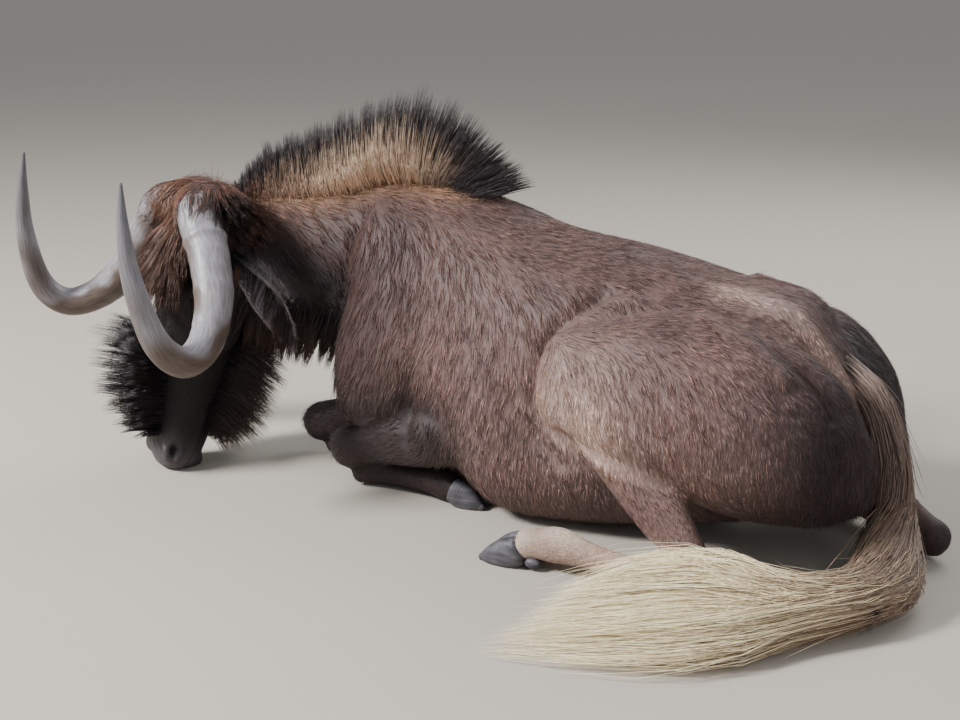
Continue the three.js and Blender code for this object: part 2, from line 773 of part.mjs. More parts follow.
function tailLock(t, angle, draw) {
  const onFloor = t > 4.5;
  const along = tailAt(t + 0.08).sub(tailAt(t - 0.08)).normalize();
  const level = along.clone().cross(UP).normalize();
  const above = level.clone().cross(along);
  const half = smooth(TAIL_LINE.map((s) => s.half), t);
  const out = level.clone().multiplyScalar(Math.cos(angle)).addScaledVector(above, 0.5 * Math.sin(angle));
  const root = tailAt(t).addScaledVector(out, half * 0.4).addScaledVector(UP, onFloor ? -7 : 0);
  const ahead = tailAt(Math.min(t + 1.8, TAIL_LINE.length - 1)).sub(tailAt(t)).normalize();
  const spread = Math.cos(angle) * (onFloor ? 0.2 : 0.07) * (Math.cos(angle) > 0 ? 0.6 : 1);
  const direction = along.clone().addScaledVector(level, spread);
  const round = level.clone().multiplyScalar(-Math.sin(angle)).addScaledVector(above, Math.cos(angle));
  return lock(root, direction, onFloor ? level.clone().negate() : round, {
    length: smooth(TAIL_REACH, t) * (0.86 + 0.28 * draw()),
    width: onFloor ? 62 : 46,
    thick: 15,
    bend: ahead.sub(along).multiplyScalar(0.75).addScaledVector(UP, onFloor ? -0.05 : 0),
    sink: 26,
    rows: [0, 0.3, 0.7],
  });
}

function tailHair() {
  const draw = drawFrom(71);
  const locks = [];
  for (let t = 2.7; t < 4.6; t += 1) {
    for (let j = 0; j < 3; j++) locks.push(tailLock(t + 0.2 * draw(), (Math.PI * (j + 1 + draw() * 0.5)) / 2, draw));
  }
  for (let t = 5.0; t < 9.5; t += 0.8) {
    for (let j = 0; j < 4; j++) locks.push(tailLock(t, (Math.PI * (j + 0.2 + 0.6 * draw())) / 4, draw));
  }
  return joined(locks).simplify(MERGE);
}

// A few locks of the tuft that fall over the top of the left hock and foot.
function hockLocks() {
  const draw = drawFrom(83);
  const locks = [];
  for (let i = 0; i < 5; i++) {
    const root = tailAt(6.6 + 0.32 * i).add(new THREE.Vector3(-14, 26, 16));
    const target = new THREE.Vector3(-104 - 26 * i + 30 * (i % 2), -338 - 17 * i, 78 - 6 * i);
    const along = target.clone().sub(root);
    const length = along.length() * (0.9 + 0.2 * draw());
    locks.push(
      lock(root, along.normalize().addScaledVector(UP, 0.12), Y.clone().negate(), {
        length,
        width: 44,
        thick: 12,
        bend: new THREE.Vector3(0, 0, -0.14),
        sink: 22,
        rows: [0, 0.35, 0.7],
      }),
    );
  }
  return joined(locks).simplify(MERGE);
}

// Legs: each length stops at the one above it, and the hooves start at the coronet.
const haunches = Object.values(HIND);
const flesh = joined([trunk(GAP), ...haunches.map((pose) => thigh(pose, GAP))]);
const underTrunk = [];
for (const [name, pose] of Object.entries(HIND)) {
  const coronet = mix(pose.fetlock, pose.toe, 0.5);
  coronet[0] -= GAP + 0.4;
  coronet[2] = 32;
  let foot = hindFoot(pose, 0).add(dewclaws(pose, -1)).subtract(shank(pose, GAP)).subtract(BELOW_FLOOR);
  for (const [place, apart] of Object.entries({ outer: -17 * pose.side, inner: 17 * pose.side })) {
    add(`hoof_hind_${name}_${place}`, claw(coronet, pose.toe, apart, CLAW_WIDTH, 0).subtract(BELOW_FLOOR), HOOF);
    foot = foot.subtract(claw(coronet, pose.toe, apart, CLAW_WIDTH, GAP));
  }
  add(`foot_hind_${name}`, foot, COAT);
  add(`shank_${name}`, shank(pose, 0).subtract(flesh).subtract(BELOW_FLOOR), COAT);
}
for (const [name, pose] of Object.entries(FORE)) {
  const coronet = mix(pose.fetlock, pose.toe, 0.42);
  coronet[0] += GAP + 0.4;
  let foot = cannon(pose, 0).subtract(forearm(pose, GAP)).subtract(BELOW_FLOOR);
  for (const [place, apart] of Object.entries({ outer: 15.5, inner: -15.5 })) {
    add(`hoof_fore_${name}_${place}`, claw(coronet, pose.toe, apart, 30, 0).subtract(BELOW_FLOOR), HOOF);
    foot = foot.subtract(claw(coronet, pose.toe, apart, 30, GAP));
  }
  add(`cannon_${name}`, foot, COAT);
  add(`forearm_${name}`, forearm(pose, 0).subtract(flesh).subtract(BELOW_FLOOR), COAT);
  underTrunk.push(legRoom(pose));
}

// The haunch's outline on the flank, drawn from the side and cut in to the pelvis.
const HAUNCH_DEPTH = 55;

function haunchBlock({ rear, stifle, side, drop }, grow) {
  const middle = (rear + stifle[0]) / 2;
  const outline = new THREE.Shape();
  const half = (rear - stifle[0]) / 2 + 40 + grow;
  const high = 212 + grow;
  const corners = 28;
  for (let k = 0; k < corners; k++) {
    const angle = (2 * Math.PI * k) / corners;
    const x = middle + half * power(Math.cos(angle), 2.5);
    const z = 232 - drop + high * power(Math.sin(angle), 2.5);
    if (k === 0) outline.moveTo(x, z);
    else outline.lineTo(x, z);
  }
  outline.closePath();
  const depth = 400;
  const geometry = new THREE.ExtrudeGeometry(outline, { depth, bevelEnabled: false });
  geometry.rotateX(Math.PI / 2);
  geometry.translate(0, side > 0 ? HAUNCH_DEPTH - grow + depth : grow - HAUNCH_DEPTH, 0);
  return solid(geometry);
}

// Trunk, haunches and neck are one form, parted round each haunch, behind the withers and
// below the throat by thin cuts.
underTrunk.push(hindFoot(HIND.right, 4));
const clear = joined(underTrunk);
const whole = joined([trunk(0), neckForm(0), ...haunches.map((pose) => thigh(pose, 0))]);
let body = whole.subtract(clear).subtract(BELOW_FLOOR);
for (const [name, pose] of Object.entries(HIND)) {
  add(`thigh_${name}`, body.intersect(haunchBlock(pose, 0)), COAT);
  body = body.subtract(haunchBlock(pose, CUT));
}
const neckCut = plate([-770, 0, 390], new THREE.Vector3(-1, 0, 0.62), 1400);
const [front, torso] = piecesAlong(body.subtract(neckCut), 0);
const chestCut = plate([-930, 0, 228], new THREE.Vector3(0.08, 0, 1), 700);
const [chest, neck] = piecesAlong(front.subtract(chestCut), 2);
add("torso", torso, COAT);
const hanging = chestHair().subtract(chestCut).subtract(clear).subtract(joined(Object.values(FORE).map((p) => forearm(p, GAP))));
add("brisket", chest.add(hanging).subtract(neckCut).subtract(BELOW_FLOOR), DARK_COAT);
add("neck", neck.add(mane().subtract(neckCut)).subtract(headForm(GAP)), MANE);

// Head: eyes in their sockets behind lids, horns over the forehead, and the jaw under the mouth line.
const horns = joined([1, -1].map((side) => horn(side, GAP)));
const jawPlane = new THREE.Vector3(JAW_AT.forward, JAW_AT.down, 0).applyMatrix4(HEAD);
const jawCut = plate(jawPlane, FACE.clone().addScaledVector(DOWN_FACE, -JAW_SLOPE), 900);
let skull = headForm(0);
for (const side of [1, -1]) {
  skull = skull.add(nostrilRim(side)).subtract(nostril(side)).subtract(mouthGroove(side));
}
for (const side of [1, -1]) {
  const name = side > 0 ? "left" : "right";
  skull = skull.add(ball(EYE_RADIUS + 4, EYE_AT, side)).subtract(ball(EYE_RADIUS + GAP, EYE_AT, side));
  skull = skull.subtract(lidSlit(side));
  add(`eye_${name}`, ball(EYE_RADIUS, EYE_AT, side), EYE);
  const cup = ear(side, 0, false).subtract(ear(side, 0, true));
  add(`ear_${name}`, cup.subtract(headForm(GAP)).subtract(neckForm(GAP)), COAT);
}
const [upper, lower] = skull.subtract(jawCut).decompose().sort((a, b) => b.volume() - a.volume());
const tufts = joined([foreheadTuft(), noseBrush()]).subtract(horns);
add("head", upper.add(tufts).subtract(BELOW_FLOOR), DARK_COAT);
add("lower_jaw", lower.add(beard().subtract(jawCut)).subtract(BELOW_FLOOR), DARK_COAT);

for (const side of [1, -1]) {
  const name = side > 0 ? "left" : "right";
  const lowest = new THREE.Vector3(155, 250, 288 * side).applyMatrix4(HEAD);
  const split = plate(lowest, FACE.clone().negate().addScaledVector(DOWN_FACE, 0.5), 160);
  const shaft = horn(side, 0).subtract(headForm(GAP)).subtract(split);
  const [base, tip] = shaft.decompose().sort((a, b) => b.volume() - a.volume());
  add(`horn_${name}_base`, base, HORN);
  add(`horn_${name}_tip`, tip, HORN);
}

const besideTail = joined([shank(HIND.left, GAP), hindFoot(HIND.left, GAP)]);
const tail = joined([tailCore(), tailHair(), hockLocks()]).subtract(flesh).subtract(besideTail).subtract(BELOW_FLOOR);
const tailCut = plate([122, -105, 60], new THREE.Vector3(0, -1, -0.4), 300);
const [tuft, dock] = piecesAlong(tail.subtract(tailCut), 1);
add("tail_dock", dock, COAT);
add("tail_tuft", tuft, BLOND);

export default group;
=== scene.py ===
import math

import bmesh
import bpy
import numpy as np
from mathutils import Matrix, Vector


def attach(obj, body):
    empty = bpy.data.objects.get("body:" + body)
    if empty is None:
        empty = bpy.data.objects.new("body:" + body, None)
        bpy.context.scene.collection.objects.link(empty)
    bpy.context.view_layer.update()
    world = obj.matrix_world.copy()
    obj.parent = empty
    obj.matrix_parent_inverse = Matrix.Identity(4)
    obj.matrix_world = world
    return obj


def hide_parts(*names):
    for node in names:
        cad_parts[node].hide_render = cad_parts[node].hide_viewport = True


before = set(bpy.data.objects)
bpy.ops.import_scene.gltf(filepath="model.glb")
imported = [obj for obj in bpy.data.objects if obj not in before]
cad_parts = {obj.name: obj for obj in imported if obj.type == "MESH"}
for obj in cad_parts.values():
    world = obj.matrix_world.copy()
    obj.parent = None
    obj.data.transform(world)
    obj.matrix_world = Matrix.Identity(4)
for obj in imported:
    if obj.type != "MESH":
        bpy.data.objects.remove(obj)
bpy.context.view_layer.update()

# The viewpoint: a long lens at standing height, off the animal's left haunch, looking down at it
# by fifteen degrees, so that the haunch is nearest and the head is farthest to the left.
VIEW_PLACE = (1.501, -2.072, 0.950)
VIEW_TILT, VIEW_TURN = 75.07, 34.0
SENSOR_WIDTH, FOCAL_LENGTH = 36.0, 56.25
camera = bpy.data.objects.new("camera", bpy.data.cameras.new("camera"))
bpy.context.scene.collection.objects.link(camera)
camera.location = VIEW_PLACE
camera.rotation_euler = (math.radians(VIEW_TILT), 0.0, math.radians(VIEW_TURN))
camera.data.sensor_width = SENSOR_WIDTH
camera.data.lens = FOCAL_LENGTH
bpy.context.scene.camera = camera

# The setting: a plain pale floor under soft studio light, with the main soft box high on the
# left, a weaker one from the right and a pale surrounding.
FLOOR_REACH = 40.0
FLOOR_COLOUR = (0.40, 0.36, 0.31, 1)
FLOOR_ROUGHNESS = 0.9
AIM = Vector((0.0, 0.0, 0.25))
SOFT_BOXES = (
    ("key_box", (-2.4, -3.0, 3.2), 1.1, 560),
    ("fill_box", (3.4, -1.8, 2.0), 2.6, 45),
    ("back_box", (0.6, 3.2, 3.0), 2.4, 110),
)
SURROUND_COLOUR = (0.90, 0.94, 1.0, 1)
SURROUND_STRENGTH = 0.55
shape = bmesh.new()
bmesh.ops.create_grid(shape, x_segments=1, y_segments=1, size=FLOOR_REACH)
floor_mesh = bpy.data.meshes.new("studio_floor")
shape.to_mesh(floor_mesh)
shape.free()
studio_floor = bpy.data.objects.new("studio_floor", floor_mesh)
bpy.context.scene.collection.objects.link(studio_floor)
floor_paint = bpy.data.materials.new("pale_floor")
floor_paint.use_nodes = True
floor_shader = floor_paint.node_tree.nodes["Principled BSDF"]
floor_shader.inputs["Base Color"].default_value = FLOOR_COLOUR
floor_shader.inputs["Roughness"].default_value = FLOOR_ROUGHNESS
floor_mesh.materials.append(floor_paint)
for name, place, size, watts in SOFT_BOXES:
    light = bpy.data.lights.new(name, "AREA")
    light.size = size
    light.energy = watts
    lamp = bpy.data.objects.new(name, light)
    bpy.context.scene.collection.objects.link(lamp)
    lamp.location = place
    lamp.rotation_euler = (AIM - Vector(place)).to_track_quat("-Z", "Y").to_euler()
world = bpy.data.worlds.new("studio_world")
bpy.context.scene.world = world
world.use_nodes = True
world.node_tree.nodes["Background"].inputs["Color"].default_value = SURROUND_COLOUR
world.node_tree.nodes["Background"].inputs["Strength"].default_value = SURROUND_STRENGTH

# The skin: one closed hide over the trunk, haunches, neck, head, legs and tail. Its forms are
# drawn through measured stations in millimetres from the tail root, fused, and smoothed where
# one muscle runs into the next.
TAIL_ROOT = Vector((0.699, 0.169, 0.0))
MM = 0.001
IN_PLACE = Matrix.Translation(TAIL_ROOT) @ Matrix.Scale(MM, 4)
UP = np.array([0.0, 0.0, 1.0])


def smooth(values, t):
    """Values between stations, on a smooth curve through them."""
    values, t = np.asarray(values, float), np.asarray(t, float)
    last = len(values) - 1
    i = np.clip(np.floor(t).astype(int), 0, last - 1)
    f = (t - i)[..., None]
    a, b = values[np.maximum(i - 1, 0)], values[i]
    c, d = values[i + 1], values[np.minimum(i + 2, last)]
    return b + 0.5 * f * (c - a + f * (2 * a - 5 * b + 4 * c - d + f * (3 * (b - c) + d - a)))


def power(value, n):
    """A round section's coordinate: 2 is an ellipse, more is boxy, less is ridged."""
    return math.copysign(abs(value) ** (2 / n), value)


def upright(x, y, low, widest, high, half, above=2.0, below=2.0):
    """A station of the trunk, with the heights of its underside, widest part and top."""
    return np.array([x, y, widest, half, high - widest, widest - low, above, below], float)


def limb(x, y, z, half, depth=None, n=2.1):
    """A station of a limb, with its half width and half depth."""
    depth = half if depth is None else depth
    return np.array([x, y, z, half, depth, depth, n, n], float)


DOME = (0.9, 0.7, 0.45, 0.2)
NUDGE = 0.02


def heading(stations, t):
    """The direction in which a form runs on at any of its stations."""
    last = len(stations) - 1
    ahead = smooth(stations, min(t + NUDGE, last))[:3] - smooth(stations, max(t - NUDGE, 0))[:3]
    return ahead / np.linalg.norm(ahead)


def edges_of(ring):
    """The edges of a new ring of vertices, each once and always in the same order."""
    return list(dict.fromkeys(edge for vert in ring for edge in vert.link_edges))


def form(bm, stations, sides=40, steps=5, up=UP, across=None, domes=(10, 10), coat=6, place=None):
    """A closed form through stations, less the depth of the coat that will cover it."""
    last = len(stations) - 1
    quarter = math.pi / 2
    rings = [(0, math.cos(b * quarter), -domes[0] * math.sin(b * quarter)) for b in DOME]
    rings += [(i / steps, 1, 0) for i in range(last * steps + 1)]
    rings += [(last, math.cos(b * quarter), domes[1] * math.sin(b * quarter)) for b in reversed(DOME)]
    grain = bm.verts.layers.float_vector.get("Grain")
    before = None
    for t, scale, shift in rings:
        row = smooth(stations, t)
        ahead = heading(stations, t)
        level = ahead if across is None else np.array(across, float)
        side = np.cross(level, up)
        side /= np.linalg.norm(side)
        over = np.cross(side, level)
        middle = row[:3] + ahead * shift
        ring = bmesh.ops.create_circle(bm, cap_ends=False, segments=sides, radius=1.0)["verts"]
        edges = edges_of(ring)
        for vert in ring:
            high = vert.co.y >= 0
            n = row[6] if high else row[7]
            width = (row[3] - coat) * scale * power(vert.co.x, n)
            height = ((row[4] if high else row[5]) - coat) * scale * power(vert.co.y, n)
            if grain:
                vert[grain] = (vert.co.x, vert.co.y, t / last)
            point = Vector(middle + side * width + over * height)
            vert.co = place @ point if place else point
        if before is None:
            bmesh.ops.contextual_create(bm, geom=edges)
        else:
            bmesh.ops.bridge_loops(bm, edges=before + edges)
        before = edges
    bmesh.ops.contextual_create(bm, geom=before)


def lump(bm, centre, radii, turn=(0, 0, 0), place=None):
    """A muscle or bone under the hide: an ellipsoid partly sunk in what carries it."""
    matrix = Matrix.Translation(centre)
    for axis, angle in zip("XYZ", turn):
        matrix = matrix @ Matrix.Rotation(math.radians(angle), 4, axis)
    matrix = matrix @ Matrix.Diagonal((*radii, 1))
    bmesh.ops.create_icosphere(bm, subdivisions=3, radius=1.0, matrix=(place @ matrix) if place else matrix)


def mix(a, b, t):
    """A point part of the way from one point to another."""
    return [p + (q - p) * t for p, q in zip(a, b)]


def face_station(down, front, back, half, above=2.4, below=1.8):
    """A station of the head, with the places of its front and back edges and its half width."""
    middle = back + (front - back) * 0.55
    return np.array([middle, down, 0, half, front - middle, middle - back, above, below], float)


# The head has its own frame at the poll: out of the face, down the face and to its left.
HEAD_YAW = math.radians(68.3)
HEAD_PITCH = math.radians(10.5)
HEAD_AT = Vector((-1201, -178, 502))
LEVEL = Vector((-math.cos(HEAD_YAW), -math.sin(HEAD_YAW), 0))
FACE = LEVEL * math.cos(HEAD_PITCH) + Vector(UP) * math.sin(HEAD_PITCH)
DOWN_FACE = LEVEL * math.sin(HEAD_PITCH) - Vector(UP) * math.cos(HEAD_PITCH)
LEFT = FACE.cross(DOWN_FACE)
HEAD = Matrix.Translation(HEAD_AT) @ Matrix((FACE, DOWN_FACE, LEFT)).transposed().to_4x4()

TRUNK = [
    upright(28, 2, 140, 215, 288, 84),
    upright(-28, 2, 85, 235, 376, 132, 1.9),
    upright(-85, 0, 50, 250, 432, 160, 2, 2.2),
    upright(-180, 0, 24, 250, 447, 176, 2.4, 2.4),
    upright(-290, 0, 4, 235, 466, 200, 2.6, 2.8),
    upright(-400, 0, -6, 215, 486, 224, 2.4, 3.2),
    upright(-540, 0, -10, 195, 507, 238, 2, 3.4),
    upright(-650, 0, -4, 205, 540, 222, 1.9, 2),
    upright(-765, 0, -4, 230, 566, 203, 1.8, 1.6),
    upright(-860, 0, 4, 255, 560, 190, 1.9, 1.5),
    upright(-915, 0, 30, 270, 520, 150, 2, 1.7),
    upright(-950, 0, 90, 280, 450, 105, 2, 1.9),
]
NECK = [
    (-700, 4, 400, 120, 150, 150, 1.9, 2),
    (-855, 6, 390, 168, 178, 190, 1.8, 2),
    (-950, 0, 396, 136, 166, 186, 1.8, 2),
    (-1050, -32, 415, 112, 128, 172, 1.9, 2),
    (-1125, -80, 425, 98, 108, 168, 1.9, 2),
    (-1172, -135, 425, 82, 90, 142, 1.9, 2),
]
SKULL = [
    face_station(0, 45, -62, 52),
    face_station(35, 78, -95, 78),
    face_station(85, 96, -108, 88),
    face_station(145, 94, -108, 91),
    face_station(205, 85, -104, 74),
    face_station(275, 78, -88, 61),
    face_station(345, 74, -70, 54),
    face_station(410, 72, -56, 52, 2.6),
    face_station(460, 70, -46, 57, 2.8),
    face_station(502, 52, -34, 50, 2.6),
]
HIND = {
    "left": dict(
        side=-1, rear=72, sink=0, drop=0, hip=(-330, -128, 398),
        front=[(1, 216, 205, 275, 396, 98), (1.1, 214, 200, 272, 380, 66)],
        stifle=(-365, -222, 270), hock=(-104, -288, 38), fetlock=(-345, -314, 46), toe=(-478, -322, 6),
    ),
    "right": dict(
        side=1, rear=52, sink=45, drop=40, hip=(-330, 128, 380),
        front=[(1, 216, 205, 275, 366, 80)],
        stifle=(-250, 206, 205), hock=(134, 72, 38), fetlock=(-86, 206, 44), toe=(-206, 262, 6),
    ),
}
FORE = {
    "left": dict(
        elbow=(-668, -172, 136), knee=(-882, -174, 76),
        top=(-872, -160, 34), fetlock=(-700, -144, 32), toe=(-606, -138, 8),
    ),
    "right": dict(
        elbow=(-800, 74, 140), knee=(-1046, -58, 66),
        top=(-1036, -46, 32), fetlock=(-886, 52, 30), toe=(-800, 108, 8),
    ),
}
TAIL = [
    limb(-20, 0, 325, 30, 26),
    limb(46, -4, 275, 31, 27),
    limb(82, -14, 190, 34, 30),
    limb(94, -28, 130, 38, 32),
    limb(110, -60, 84, 44, 36),
    limb(130, -150, 42, 60, 38),
    limb(128, -270, 34, 78, 36),
    limb(82, -375, 32, 92, 36),
    limb(-10, -452, 32, 98, 36),
    limb(-130, -524, 26, 76, 28),
    limb(-230, -572, 14, 34, 14),
    limb(-278, -588, 8, 6, 6),
]

HIND_FEET = [[pose["hock"], pose["fetlock"], pose["toe"]] for pose in HIND.values()]
FORE_FEET = [[pose["top"], pose["fetlock"], pose["toe"]] for pose in FORE.values()]

# Down a haunch from its rear to the stifle: the share of the way, how far out, the heights of
# its underside, widest part and top, and its half width.
HAUNCH = [
    (0, 112, 112, 180, 262, 50),
    (0.13, 128, 92, 205, 345, 112),
    (0.37, 148, 94, 222, 404, 148),
    (0.62, 165, 120, 242, 424, 142),
    (0.85, 192, 160, 262, 410, 114),
]
BACKWARDS = (-1, 0, 0)

flesh = bmesh.new()
form(flesh, TRUNK, sides=56, across=BACKWARDS, domes=(30, 22), coat=9)
form(flesh, NECK, sides=48, domes=(10, 20), coat=10)
form(flesh, SKULL, sides=44, up=(1, 0, 0), domes=(14, 14), coat=3, place=HEAD)
for pose in HIND.values():
    side, rear, stifle, hock = pose["side"], pose["rear"], pose["stifle"], pose["hock"]
    fetlock, toe = pose["fetlock"], pose["toe"]
    sink, drop = pose["sink"], pose["drop"]
    haunch = []
    for t, out, low, middle, high, half in HAUNCH + pose["front"]:
        x = rear + (stifle[0] - rear) * t
        haunch.append(upright(x, out * side, low - sink, middle - sink / 2, high - drop, half))
    form(flesh, haunch, sides=44, across=BACKWARDS, domes=(22, 30), coat=8)
    start = (stifle[0], stifle[1] * 0.9, stifle[2])
    shank = [
        limb(*mix(start, hock, 0.08), 60, 62),
        limb(*mix(start, hock, 0.3), 50, 66),
        limb(*mix(start, hock, 0.58), 37, 62),
        limb(*mix(start, hock, 0.82), 27, 42),
        limb(*hock, 26, 33),
    ]
    form(flesh, shank, sides=28, domes=(12, 14), coat=3)
    pastern = mix(fetlock, toe, 0.5)
    pastern[2] = fetlock[2] - 8
    foot = [limb(hock[0] + 8, hock[1], hock[2] - 2, 23, 30)]
    for t, lower, half, depth in ((0.12, 8, 25, 31), (0.4, 12, 20, 23), (0.75, 6, 20, 23)):
        x, y, z = mix(hock, fetlock, t)
        foot.append(limb(x, y, z - lower, half, depth))
    foot += [limb(*fetlock, 28, 32), limb(*mix(fetlock, pastern, 0.5), 26, 28), limb(*pastern, 31, 27)]
    form(flesh, foot, sides=26, domes=(12, 6), coat=2)
for pose in FORE.values():
    elbow, knee, top, fetlock, toe = (pose[k] for k in ("elbow", "knee", "top", "fetlock", "toe"))
    forearm = [
        limb(*mix(elbow, knee, -0.34), 30, 40),
        limb(*mix(elbow, knee, -0.06), 54, 58),
        limb(*mix(elbow, knee, 0.3), 52, 56),
        limb(*mix(elbow, knee, 0.72), 40, 42),
        limb(*mix(elbow, knee, 0.95), 42, 44),
        limb(*mix(elbow, knee, 1.05), 36, 38),
    ]
    form(flesh, forearm, sides=28, domes=(20, 18), coat=4)
    cannon = [
        limb(*top, 26, 34),
        limb(*mix(top, fetlock, 0.3), 20, 25),
        limb(*mix(top, fetlock, 0.75), 20, 24),
        limb(*fetlock, 26, 30),
        limb(*mix(fetlock, toe, 0.42), 28, 26),
    ]
    form(flesh, cannon, sides=26, domes=(12, 6), coat=2)
form(flesh, [limb(*s[:3], s[3] * 0.5, s[4] * 0.5) for s in TAIL[:7]], sides=24, domes=(8, 20), coat=0)

# On each side the shoulder blade, the upper arm and the hip's point, and on the head the horn's
# boss, the cheek, the brow, the nostril's wing and the edge of the nose bone.
for side, hip in ((1, HIND["right"]["hip"]), (-1, HIND["left"]["hip"])):
    lump(flesh, (-805, 146 * side, 300), (112, 50, 185), (17 * side, 12, 0))
    lump(flesh, (-770, 150 * side, 190), (90, 50, 80), (0, -20, 0))
    lump(flesh, hip, (46, 30, 38))
    lump(flesh, (14, -2, 36 * side), (56, 46, 60), place=HEAD)
    lump(flesh, (-34, 205, 46 * side), (38, 84, 26), place=HEAD)
    lump(flesh, (38, 150, 63 * side), (34, 36, 29), place=HEAD)
    lump(flesh, (34, 470, 38 * side), (24, 30, 19), (0, 0, -26), place=HEAD)
    lump(flesh, (70, 250, 22 * side), (10, 80, 14), place=HEAD)

# The lips, the hocks' points and the knee caps.
lump(flesh, (-6, 494, 0), (34, 22, 42), place=HEAD)
for point in ((-104, -286, 40), (134, 74, 40)):
    lump(flesh, point, (30, 26, 31))
for point in ((-886, -172, 74), (-1050, -56, 66)):
    lump(flesh, point, (40, 36, 40))

VOXEL, SMOOTHING_ROUNDS = ((0.0034, 39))
SMOOTHING = 0.62
KEPT_AT_HEAD_AND_FEET = 0.82
SKIN_TRIANGLES = 186000
flesh_mesh = bpy.data.meshes.new("flesh")
flesh.transform(Matrix.Scale(MM, 4))
flesh.transform(Matrix.Translation(TAIL_ROOT))
flesh.to_mesh(flesh_mesh)
flesh.free()
fused = bpy.data.objects.new("flesh", flesh_mesh)
bpy.context.scene.collection.objects.link(fused)
remesh = fused.modifiers.new("fuse", "REMESH")
remesh.mode = "VOXEL"
remesh.voxel_size = VOXEL
hide = bpy.data.meshes.new_from_object(fused.evaluated_get(bpy.context.evaluated_depsgraph_get()))
bpy.data.objects.remove(fused)
bpy.data.meshes.remove(flesh_mesh)


def read_vertices(mesh, field):
    """One row of three numbers for each vertex: co is its place, normal its outward direction."""
    rows = np.empty(len(mesh.vertices) * 3, np.float32)
    mesh.vertices.foreach_get(field, rows)
    return rows.reshape(-1, 3).astype(float)


def move_vertices(mesh, points):
    """Puts each vertex of a mesh at its new place."""
    mesh.vertices.foreach_set("co", points.astype(np.float32).ravel())
    mesh.update()


def shade_smooth(mesh):
    """Shades a mesh as a round surface, with no facets."""
    mesh.polygons.foreach_set("use_smooth", [True] * len(mesh.polygons))


def body_mm(points):
    """Millimetres from the tail root."""
    return (points - np.array(TAIL_ROOT)) / MM


HEAD_ROWS = np.array(HEAD.to_3x3())
HEAD_ORIGIN = np.array(HEAD_AT)


def head_mm(points):
    """Millimetres forward of, down and out of the head's own origin at the poll."""
    return (body_mm(points) - HEAD_ORIGIN) @ HEAD_ROWS


def near(points, centre, radius):
    """How close points are to a centre: 1 at it, fading to 0 past the radius."""
    return np.exp(-(((points - np.array(centre)) / np.array(radius)) ** 2).sum(1))


def along(points, line):
    """How far along a line points lie, counted in its stretches, and how far off it."""
    line = np.array(line, float)[:, :3]
    best, place = np.full(len(points), 1e9), np.zeros(len(points))
    for i, (a, b) in enumerate(zip(line[:-1], line[1:])):
        span = b - a
        t = np.clip((points - a) @ span / (span @ span), 0, 1)
        away = np.linalg.norm(points - a - t[:, None] * span, axis=1)
        place = np.where(away < best, i + t, place)
        best = np.minimum(best, away)
    return place, best


def at_line(line, place):
    """The points of a line at distances counted in its stretches."""
    line = np.array(line, float)
    i = np.clip(place.astype(int), 0, len(line) - 2)
    return line[i] + (line[i + 1] - line[i]) * (place - i)[..., None]


def near_line(points, line, radius):
    """How close points are to a line: 1 on it, fading to 0 past the radius."""
    return np.exp(-((along(points, line)[1] / radius) ** 2))


co = read_vertices(hide, "co")
edges = np.empty(len(hide.edges) * 2, np.int32)
hide.edges.foreach_get("vertices", edges)
edges = edges.reshape(-1, 2)
both = np.concatenate([edges, edges[:, ::-1]])
degree = np.bincount(both[:, 0], minlength=len(co)).astype(float)
kept = near_line(head_mm(co), [(0, 60, 0), (0, 480, 0)], 120)
for lines, radius in ((HIND_FEET, 60), (FORE_FEET, 50)):
    for line in lines:
        kept = np.maximum(kept, near_line(body_mm(co), line, radius))
softness = SMOOTHING * (1 - KEPT_AT_HEAD_AND_FEET * kept)
for _ in range(SMOOTHING_ROUNDS):
    total = [np.bincount(both[:, 0], weights=co[both[:, 1], k], minlength=len(co)) for k in range(3)]
    co += softness[:, None] * (np.stack(total, 1) / degree[:, None] - co)
move_vertices(hide, co)
normals = read_vertices(hide, "normal")

# Each stroke follows a line on the body, with its width and its height above the hide in
# millimetres. A negative height presses a fold in.
HAUNCH_FOLD = [
    (-292, 129, 436), (-361, 147, 431), (-423, 190, 380), (-453, 215, 317),
    (-458, 224, 249), (-446, 228, 187), (-408, 224, 142),
]
HIP_RIDGE = [(-352, 142, 432), (-288, 142, 430), (-196, 160, 421), (-93, 188, 388), (-31, 200, 345)]
HIP_HOLLOW = [(-300, 112, 450), (-196, 122, 440), (-93, 148, 415), (-20, 160, 372), (40, 158, 290)]
CROUP_RIDGE = [(-230, 62, 452), (-123, 60, 432), (-70, 54, 407), (-15, 46, 345), (17, 36, 297)]
ELBOW_FOLD = [(-705, 214, 300), (-728, 206, 235), (-735, 198, 182), (-725, 212, 126)]
SHOULDER_EDGE = [(-905, 90, 500), (-925, 118, 440), (-935, 128, 360), (-915, 150, 280), (-880, 165, 215)]
BLADE = [(-800, 110, 490), (-795, 160, 417), (-820, 190, 331), (-850, 185, 270)]
BODY_STROKES = [
    (HAUNCH_FOLD, 15, -11),
    (HIP_RIDGE, 16, 12),
    (HIP_HOLLOW, 18, -14),
    (CROUP_RIDGE, 15, 11),
    (ELBOW_FOLD, 16, -11),
    (SHOULDER_EDGE, 15, -7),
    (BLADE, 30, 4),
]
RIBS, RIB_GAP = 5, 46
for k in range(RIBS):
    x = -440 - RIB_GAP * k
    BODY_STROKES.append(([(x, 196, 400 - 4 * k), (x - 26, 232, 290), (x - 20, 236, 180)], 14, 2.2))


def press(line, width, height):
    """Moves the hide along its own direction beside a line."""
    line = np.array(line, float)
    where = body_mm(co)
    close = np.all((where > line.min(0) - 3 * width) & (where < line.max(0) + 3 * width), axis=1)
    co[close] += normals[close] * (near_line(where[close], line, width) * height * MM)[:, None]


